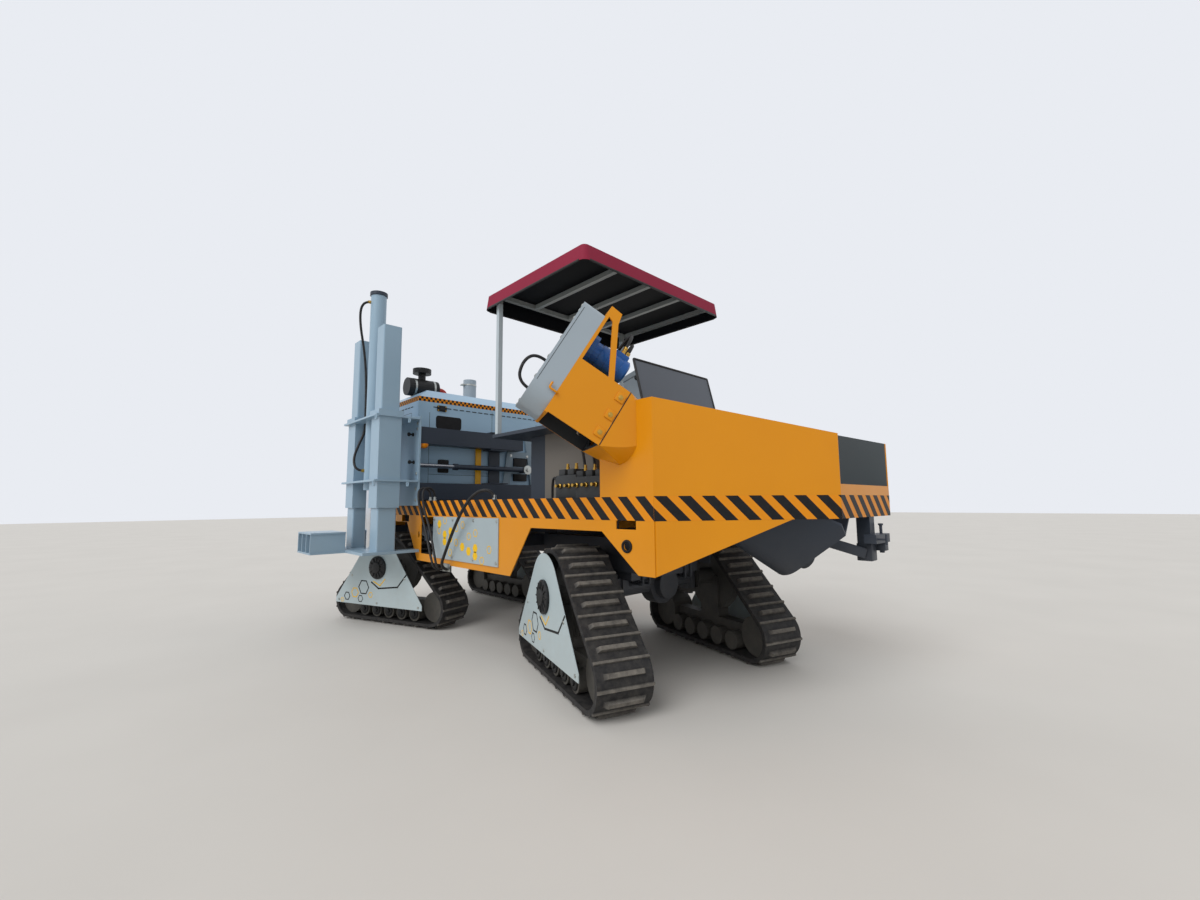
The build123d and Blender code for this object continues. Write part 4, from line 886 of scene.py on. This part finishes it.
def add_bar(shape, points, radius, bend=0.02, place=machine, sides=12):
    """Closed round bar along a polyline."""
    path = [place @ p for p in rounded_path(points, bend)]
    side, rings = None, []
    for i, point in enumerate(path):
        tangent = (path[min(i + 1, len(path) - 1)] - path[max(i - 1, 0)]).normalized()
        side = tangent.orthogonal() if side is None else side
        side = (side - tangent * side.dot(tangent)).normalized()
        other = tangent.cross(side)
        rings.append([shape.verts.new(point + radius * (side * math.cos(a) + other * math.sin(a)))
                      for a in around(sides)])
    skin(shape, rings)


print("bar helper ready")

# %% [markdown]
# The auger's head box is bolted to its tube through square washers, with a dark gasket behind the
# flange. A lifting hook sits on the drive plate's edge, and the chain case closes with a ring of bolts.
# These pieces are placed in the auger's own frame: s along the axis, out to the side, up across it.

# %% Head, chain case and motor
auger_place = axes_at(auger_origin, axis, outward, upward)
box_side, case_face = 0.2, 0.586
washers, head_bolts, gasket = bmesh.new(), [], bmesh.new()
for side in (1, -1):
    near, washer, seal, rim = (side * (box_side + proud) for proud in (0, 0.009, 0.0012, 0.0008))
    for up in (0.13, 0.0, -0.13):
        add_block(washers, (0.045, min(near, washer), up - 0.03), (0.105, max(near, washer), up + 0.03),
                  0.002, auger_place)
        head_bolts.append((at_auger(0.075, washer, up), outward * side))
    add_block(gasket, (0.0315, min(near, seal), -0.198), (0.0375, max(near, seal), 0.2012), 0, auger_place)
    add_block(gasket, (0.566, min(near, rim), -0.07), (0.569, max(near, rim), 0.49), 0, auger_place)
add_block(gasket, (0.0315, -box_side, box_side), (0.0375, box_side, 0.2012), 0, auger_place)
keep(washers, "head_square_washers", yellow)
set_bolts("head_bolts", head_bolts, 0.010, brass)
keep(gasket, "head_gasket", black_plastic)
hook = bmesh.new()
add_bar(hook, [(0.420, 0.19, -0.075), (0.420, 0.218, -0.075), (0.480, 0.218, -0.075),
               (0.480, 0.218, -0.035)], 0.007, 0.014, auger_place)
keep(hook, "head_hook", yellow)
case_rows = (((-0.18, 0.18), (-0.05, 0.1, 0.25, 0.4, 0.5)), ((-0.07, 0.07), (-0.205, 0.515)))
case_bolts = [(at_auger(case_face, out, up), axis) for outs, ups in case_rows for out in outs for up in ups]
set_bolts("case_bolts", case_bolts, 0.009)
motor, fittings = bmesh.new(), bmesh.new()
motor_frame = axes_at(at_auger(0.116, 0, 0.355), upward, outward, axis)
add_turned(motor, [(0.070, -0.012), (0.076, -0.006), (0.084, 0.0), (0.084, 0.04), (0.0815, 0.044)],
           motor_frame)
add_turned(motor, [(0.0835, 0.150), (0.086, 0.156), (0.086, 0.200), (0.0835, 0.206)], motor_frame)
add_block(motor, (0.055, -0.045, 0.02), (0.105, 0.045, 0.12), 0.006, motor_frame)
keep(motor, "motor_end_and_port_block", motor_blue)
for out, s in ((-0.025, 0.15), (0.025, 0.19)):
    add_turned(fittings, [(0.016, 0), (0.016, 0.012), (0.013, 0.014), (0.013, 0.034), (0.015, 0.036),
                          (0.015, 0.05)], on_face(at_auger(s, out, 0.459), upward, axis), 12)
keep(fittings, "motor_fittings", brass)
print("head bolts", len(head_bolts), "case bolts", len(case_bolts))

# %% [markdown]
# Flat sheets close the hopper's floor between its walls and the chute, so that no concrete falls past
# it. Their inner edges follow the chute's rim, and they stay outside the auger's tube.

# %% Hopper floor
floor_sheets, sheet_level, sheet_thickness = bmesh.new(), 1.367, 0.006
near_sheet = [(0.009, 0.012), (0.575, -0.383), (0.295, 0.040), (0.272, 0.100), (0.266, 0.160),
              (0.276, 0.200), (0.300, 0.240), (0.345, 0.270), (0.420, 0.290), (0.437, 0.455),
              (0.009, 0.455)]
far_sheet = [(0.437, 0.455), (0.420, 0.289), (1.797, 0.287), (1.274, -0.697), (1.921, -0.697),
             (1.921, 0.455)]
for outline in (near_sheet, far_sheet):
    add_plate(floor_sheets, outline, sheet_thickness, Matrix.Translation(spot(0, 0, sheet_level)))
keep(floor_sheets, "hopper_floor_sheets", hopper_paint)
print("floor sheets ready")

# %% [markdown]
# The deck carries a bank of valves beside the auger, an operator's console on the raised platform and a
# flap whose edges are trimmed with a rubber profile. Each is a few blocks and turned parts in one shape.

# %% Deck pieces
bank, spools = bmesh.new(), bmesh.new()
add_block(bank, (0.07, 0.79, 1.33), (0.21, 1.02, 1.50), 0.006)
first_valve, valve_pitch = 0.56, 0.10
for i in range(5):
    y = first_valve + i * valve_pitch
    # the first three sections stand on the low block, the others on the high one
    top, face_x = (1.48, 0.06) if i < 3 else (1.50, 0.07)
    add_block(bank, (0.08, y - 0.035, top), (0.20, y + 0.035, top + 0.045), 0.005)
    add_turned(spools, [(0.014, 0), (0.014, 0.02), (0.011, 0.022), (0.011, 0.045)],
               Matrix.Translation(spot(0.14, y, top + 0.045)), 10)
    add_turned(spools, [(0.017, 0), (0.017, 0.014), (0.012, 0.018), (0.012, 0.05)],
               on_face(spot(face_x, y, 1.42), (-1, 0, 0)), 12)
keep(bank, "valve_bank", iron_paint)
keep(spools, "valve_fittings", brass)

trim = bmesh.new()
flap_lean, flap_height = math.radians(14), 1.180
top_y, top_z = 0.483 + flap_height * math.sin(flap_lean), 1.332 + flap_height * math.cos(flap_lean)
add_bar(trim, [(0.69, 0.485, 1.34), (0.69, top_y, top_z), (1.74, top_y, top_z), (1.74, 0.485, 1.34)], 0.011,
        0.01)
keep(trim, "flap_trim", hose_rubber)
flap_bolts = [(spot(x, 0.476, 1.36), (0, -1, 0.25)) for x in (0.78, 1.00, 1.22, 1.44, 1.66)]
set_bolts("flap_bolts", flap_bolts, 0.009)

console, screen, controls = bmesh.new(), bmesh.new(), bmesh.new()
console_tilt = Matrix.Translation(spot(1.35, 1.215, 2.50)) @ Matrix.Rotation(math.radians(-14), 4, "X")
add_block(console, (-0.20, -0.125, -0.02), (0.20, 0.125, 0.035), 0.008, console_tilt)
add_block(screen, (-0.15, -0.02, 0.033), (0.02, 0.09, 0.039), 0.002, console_tilt)
for i in range(6):
    add_turned(controls, [(0.014, 0), (0.014, 0.012), (0.012, 0.016)], console_tilt @ Matrix.Translation(
        (0.06 + i % 3 * 0.045, -0.05 + i // 3 * 0.08, 0.034)), 16)
add_turned(controls, [(0.010, 0), (0.010, 0.030), (0.024, 0.035), (0.028, 0.050), (0.022, 0.065),
                      (0.008, 0.070)], on_face(spot(1.16, 1.12, 2.455), (-1, -0.2, 0)), 16)
keep(console, "console_top", light_grey)
keep(screen, "console_screen", screen_glass)
keep(controls, "console_controls", black_plastic)
print("deck pieces ready")

# %% [markdown]
# On the engine hood stand the air cleaner, held by two bands and joined to the engine by a red silicone
# elbow, and the exhaust with its clamp. The roof of the canopy is pressed with low ridges, and a black
# profile closes the lower edge of its skirt.

# %% Hood and canopy pieces
bands, elbow, clamps, edge = bmesh.new(), bmesh.new(), bmesh.new(), bmesh.new()
for x in (0.21, 0.45):
    add_turned(bands, [(0.109, 0), (0.113, 0.001), (0.113, 0.024), (0.109, 0.025)],
               on_face(spot(x, 4.0, 2.73), (1, 0, 0)))
add_turned(bands, [(0.040, 0.0), (0.080, 0.004), (0.084, 0.010), (0.030, 0.016)],
           on_face(spot(0.519, 4.0, 2.73), (1, 0, 0)))
keep(bands, "cleaner_bands", zinc)
add_bar(elbow, [(0.50, 4.0, 2.73), (0.62, 4.0, 2.73), (0.66, 4.0, 2.60)], 0.038, 0.05, sides=20)
keep(elbow, "air_hose_elbow", red_hose_rubber)
for z in (2.655, 2.868):
    add_turned(clamps, [(0.084, 0), (0.0885, 0.001), (0.0885, 0.020), (0.084, 0.021)],
               Matrix.Translation(spot(1.02, 4.05, z)))
add_block(clamps, (0.900, 4.035, 2.866), (0.935, 4.065, 2.891), 0.002)
add_turned(clamps, [(0.011, -0.03), (0.011, 0.03)], on_face(spot(0.906, 4.05, 2.878), (0, 1, 0)), 12)
keep(clamps, "exhaust_clamps", zinc)

trim_low, trim_high = 3.116, 3.132
for low, high in (
    # near and far corner of each strip, in x and y
    ((0.080, 0.760), (0.091, 2.060)), ((1.885, 0.760), (1.896, 2.060)),
    ((0.143, 0.697), (1.833, 0.708)), ((0.143, 2.112), (1.833, 2.123)),
):
    add_block(edge, (*low, trim_low), (*high, trim_high), 0.002)
keep(edge, "canopy_edge", hose_rubber)
# the direction leans by a thousandth, which tells the tree which way is up the face
first_ridge, ridge_pitch = 0.19, 0.10
ridges = [(spot(first_ridge + i * ridge_pitch, 1.41, 3.257), (0, 0.001, 1)) for i in range(17)]
set_blocks("canopy_ridges", ridges, 0.035, 1.26, 0.016, canopy_sheet)
print("ridges", len(ridges))

# %% [markdown]
# The sliding leg hangs on two beams. Its flanges carry small hooks for hoses, two spring pins with ball
# knobs lock it for transport, and a warning lamp sits below the upper beam. Pieces on the carriage ride
# with it when the leg slides out.

# %% Leg and slide pieces
hooks = bmesh.new()
for x in (-0.16, -0.50):
    for z in (2.195, 1.528):
        add_bar(hooks, [(x, 3.188, z + 0.004), (x, 3.188, z - 0.045), (x, 3.150, z - 0.045),
                        (x, 3.150, z - 0.005)], 0.007, 0.014)
keep(hooks, "leg_hooks", leg_grey, "carriage")
pins, pin_profile = bmesh.new(), [(0.020, 0), (0.020, 0.010), (0.009, 0.012), (0.009, 0.034), (0.018, 0.038),
                                  (0.023, 0.050), (0.018, 0.062), (0.008, 0.066)]
for y, z in ((3.34, 2.048), (3.304, 1.745)):
    add_turned(pins, pin_profile, on_face(spot(-0.040, y, z), (-1, 0, 0)), 16)
keep(pins, "carriage_pins", black_plastic, "carriage")
carriage_bolts = [(spot(-0.040, y, z), (-1, 0, 0))
                  for y in (3.24, 4.10) for z in (1.34, 1.46, 1.62, 2.10, 2.16)]
set_bolts("carriage_bolts", carriage_bolts, 0.012, body="carriage")
lens = bmesh.new()
add_turned(lens, [(0.052, 0), (0.052, 0.012), (0.046, 0.030), (0.030, 0.044), (0.010, 0.050)],
           on_face(spot(0.035, 3.25, 1.945), (0, 0, -1), (0, 1, 0)), 24)
keep(lens, "beam_lamp", lamp_orange, "carriage")
glands, eye = bmesh.new(), bmesh.new()
add_turned(glands, [(0.030, -0.012), (0.037, -0.008), (0.037, 0.045), (0.030, 0.05)],
           on_face(spot(0.42, 3.29, 1.715), (1, 0, 0)), 24)
add_turned(glands, [(0.086, 0), (0.092, 0.003), (0.092, 0.040), (0.086, 0.043)],
           Matrix.Translation(spot(-0.340, 3.6725, 3.617)))
add_turned(eye, [(0.058, 0), (0.058, 0.014), (0.022, 0.016), (0.022, 0.028), (0.012, 0.030)],
           on_face(spot(1.405, 3.256, 1.715), (0, -1, 0)), 24)
keep(eye, "slide_eye_and_pin", zinc)
keep(glands, "cylinder_glands", slate, "carriage")
bracket_bolts = [(spot(x, 3.392, z), (0, -1, 0)) for x, z in ((1.16, 1.37), (1.65, 1.37), (1.74, 1.37),
                                                              (1.25, 1.90), (1.50, 1.90), (1.49, 2.12))]
set_bolts("bracket_bolts_row", bracket_bolts, 0.011)
print("leg pieces ready")

# %% [markdown]
# Below the nose a clamp holds the sensor arm: a brace runs back to the chute, a pin drops through the
# clamp and a T-screw closes it. U-bolts hang the light cross beam of the front axle.

# %% Nose and axle pieces
nose, loops = bmesh.new(), bmesh.new()
brace_start, brace_end = spot(1.29, -0.40, 1.03), spot(1.50, -0.655, 0.925)
add_block(nose, (-0.030, -0.035, 0), (0.030, 0.035, (brace_end - brace_start).length), 0.004,
          on_face(brace_start, brace_end - brace_start))
# the post's sleeve and the clamp block beside it
add_block(nose, (1.494, -0.704, 0.872), (1.596, -0.604, 0.992), 0.004)
add_block(nose, (1.595, -0.760, 0.940), (1.665, -0.696, 0.999), 0.004)
add_turned(nose, [(0.016, 0), (0.016, 0.012), (0.010, 0.014), (0.010, 0.190), (0.016, 0.192),
                  (0.016, 0.205)], Matrix.Translation(spot(1.63, -0.728, 0.925)), 14)
# the T-screw: its stem and its handle
add_bar(nose, [(1.440, -0.768, 1.03), (1.440, -0.818, 1.03)], 0.007, 0.01)
add_bar(nose, [(1.440, -0.818, 0.995), (1.440, -0.818, 1.065)], 0.007, 0.01)
keep(nose, "nose_brace_and_screw", slate)
for x in (0.66, 0.74, 1.20, 1.28):
    add_bar(loops, [(x, 0.680, 0.83), (x, 0.680, 0.66), (x, 0.790, 0.66), (x, 0.790, 0.83)], 0.010, 0.02)
keep(loops, "axle_u_bolts", slate)
print("nose pieces ready")

# %% [markdown]
# A hole in the skirt lets a grease line through. A rubber profile is pressed over its edge: a closed
# ring of round section, one loop of points carried round the hole.

# %% Rubber edge of the skirt's hole
grommet, rim_points = bmesh.new(), around(24) + [2 * math.pi]
add_bar(grommet, [(-0.001, 0.224 + 0.036 * math.cos(a), 1.020 + 0.033 * math.sin(a)) for a in rim_points],
        0.009, 0.001, sides=8)
keep(grommet, "skirt_grommet", tape_black)
print("grommet ready")

# %% [markdown]
# Hydraulic hoses are stiff: they leave a fitting straight, swing in one wide curve and come home
# straight. Each is a NURBS curve with a few control points, which is how a hose of fixed length lies
# between two fittings.

# %% Hoses
def hose(name, body, diameter, points):
    """Free hose from its first point back into the machine at its last; returns its length."""
    data = bpy.data.curves.new(name, "CURVE")
    data.dimensions, data.resolution_u = "3D", 10
    run = data.splines.new("NURBS")
    run.points.add(len(points) - 1)
    for point, place in zip(run.points, points):
        point.co = (*place, 1)
    run.order_u, run.use_endpoint_u = 3, True
    piece = add_object(name, data)
    evaluated = piece.evaluated_get(bpy.context.evaluated_depsgraph_get())
    line = evaluated.to_mesh()
    ends = [[line.vertices[i].co for i in edge.vertices] for edge in line.edges]
    length = sum((a - b).length for a, b in ends)
    evaluated.to_mesh_clear()
    data.bevel_depth, data.bevel_resolution, data.use_fill_caps = diameter / 2, 4, True
    data.materials.append(hose_rubber)
    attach(piece, body)
    return length


def each(measure, *places):
    """Points that are all measured the same way, by spot or by at_auger."""
    return [measure(*place) for place in places]


socket_z, deck_face = 0.675, 1.335
hoses = [
    # name, body, diameter, control points
    ("side_hose_front", "chassis", 0.028, each(
        spot, (0.05, 1.84, deck_face), (0.04, 1.85, 1.40), (-0.04, 1.93, 1.42), (-0.10, 2.06, 1.31),
        (-0.08, 2.30, 1.09), (-0.08, 2.46, 0.86), (-0.10, 2.53, 0.70), (-0.004, 2.56, socket_z))),
    ("side_hose_middle", "chassis", 0.022, each(
        spot, (0.05, 2.98, deck_face), (0.05, 2.98, 1.416), (0.006, 2.98, 1.460), (-0.056, 2.97, 1.460),
        (-0.10, 2.95, 1.412), (-0.10, 2.91, 1.26), (-0.08, 2.80, 1.06), (-0.10, 2.64, 0.80),
        (-0.09, 2.60, 0.67), (-0.004, 2.60, socket_z))),
    ("side_hose_rear", "chassis", 0.022, each(
        spot, (0.05, 3.08, deck_face), (0.05, 3.08, 1.416), (0.006, 3.08, 1.460), (-0.060, 3.06, 1.460),
        (-0.11, 3.03, 1.412), (-0.11, 2.98, 1.26), (-0.10, 2.86, 1.06), (-0.12, 2.68, 0.79),
        (-0.10, 2.64, 0.67), (-0.004, 2.64, socket_z))),
    ("lift_hose_top", "carriage", 0.026, each(
        spot, (-0.420, 3.69, 3.54), (-0.50, 3.71, 3.54), (-0.50, 3.80, 3.36), (-0.40, 3.85, 2.95),
        (-0.37, 3.86, 2.55), (-0.37, 3.86, 2.214))),
    ("lift_hose_low", "carriage", 0.026, each(
        spot, (-0.420, 3.69, 1.66), (-0.50, 3.71, 1.66), (-0.50, 3.80, 1.80), (-0.42, 3.86, 1.98),
        (-0.37, 3.86, 2.10), (-0.37, 3.86, 2.196))),
    ("case_hose", "chassis", 0.020, each(
        at_auger, (0.585, 0.10, 0.09), (0.66, 0.11, 0.09), (0.70, 0.12, 0.0), (0.66, 0.11, -0.12),
        (0.585, 0.10, -0.12))),
    ("motor_hose_left", "chassis", 0.022, each(
        spot, (0.14, 0.66, 1.50), (0.14, 0.66, 1.74), (0.18, 0.98, 1.98)) + each(
        at_auger, (0.14, -0.34, 0.22), (0.14, -0.24, 0.60), (0.15, -0.03, 0.62), (0.15, -0.025, 0.445))),
    ("motor_hose_right", "chassis", 0.022, each(
        spot, (0.14, 0.76, 1.50), (0.14, 0.78, 1.74), (0.20, 1.06, 1.98)) + each(
        at_auger, (0.20, -0.38, 0.22), (0.20, -0.24, 0.64), (0.19, 0.02, 0.66), (0.19, 0.025, 0.445))),
    ("bank_hose", "chassis", 0.020, each(
        spot, (0.12, 1.06, deck_face), (0.12, 1.06, 1.46), (0.14, 1.12, 1.50), (0.18, 1.20, 1.46),
        (0.19, 1.21, deck_face))),
]
for row in hoses:
    print(row[0], round(hose(*row), 3), "m")
sockets, ports = bmesh.new(), bmesh.new()
add_block(sockets, (-0.004, 2.52, 0.655), (0.016, 2.68, 0.730), 0.003)
for y in (2.56, 2.60, 2.64):
    add_turned(sockets, [(0.016, 0), (0.016, 0.020), (0.013, 0.022), (0.013, 0.036)],
               on_face(spot(-0.004, y, socket_z), (-1, 0, 0)), 12)
for y in (1.84, 2.98, 3.08):
    add_turned(sockets, [(0.018, 0), (0.018, 0.014), (0.014, 0.018), (0.014, 0.040)],
               Matrix.Translation(spot(0.05, y, 1.330)), 12)
keep(sockets, "hose_sockets", zinc)
for z in (3.54, 1.66):
    add_turned(ports, [(0.018, -0.01), (0.018, 0.018), (0.014, 0.02), (0.014, 0.034)],
               on_face(spot(-0.418, 3.69, z), (-1, 0, 0)), 12)
keep(ports, "lift_ports", brass, "carriage")
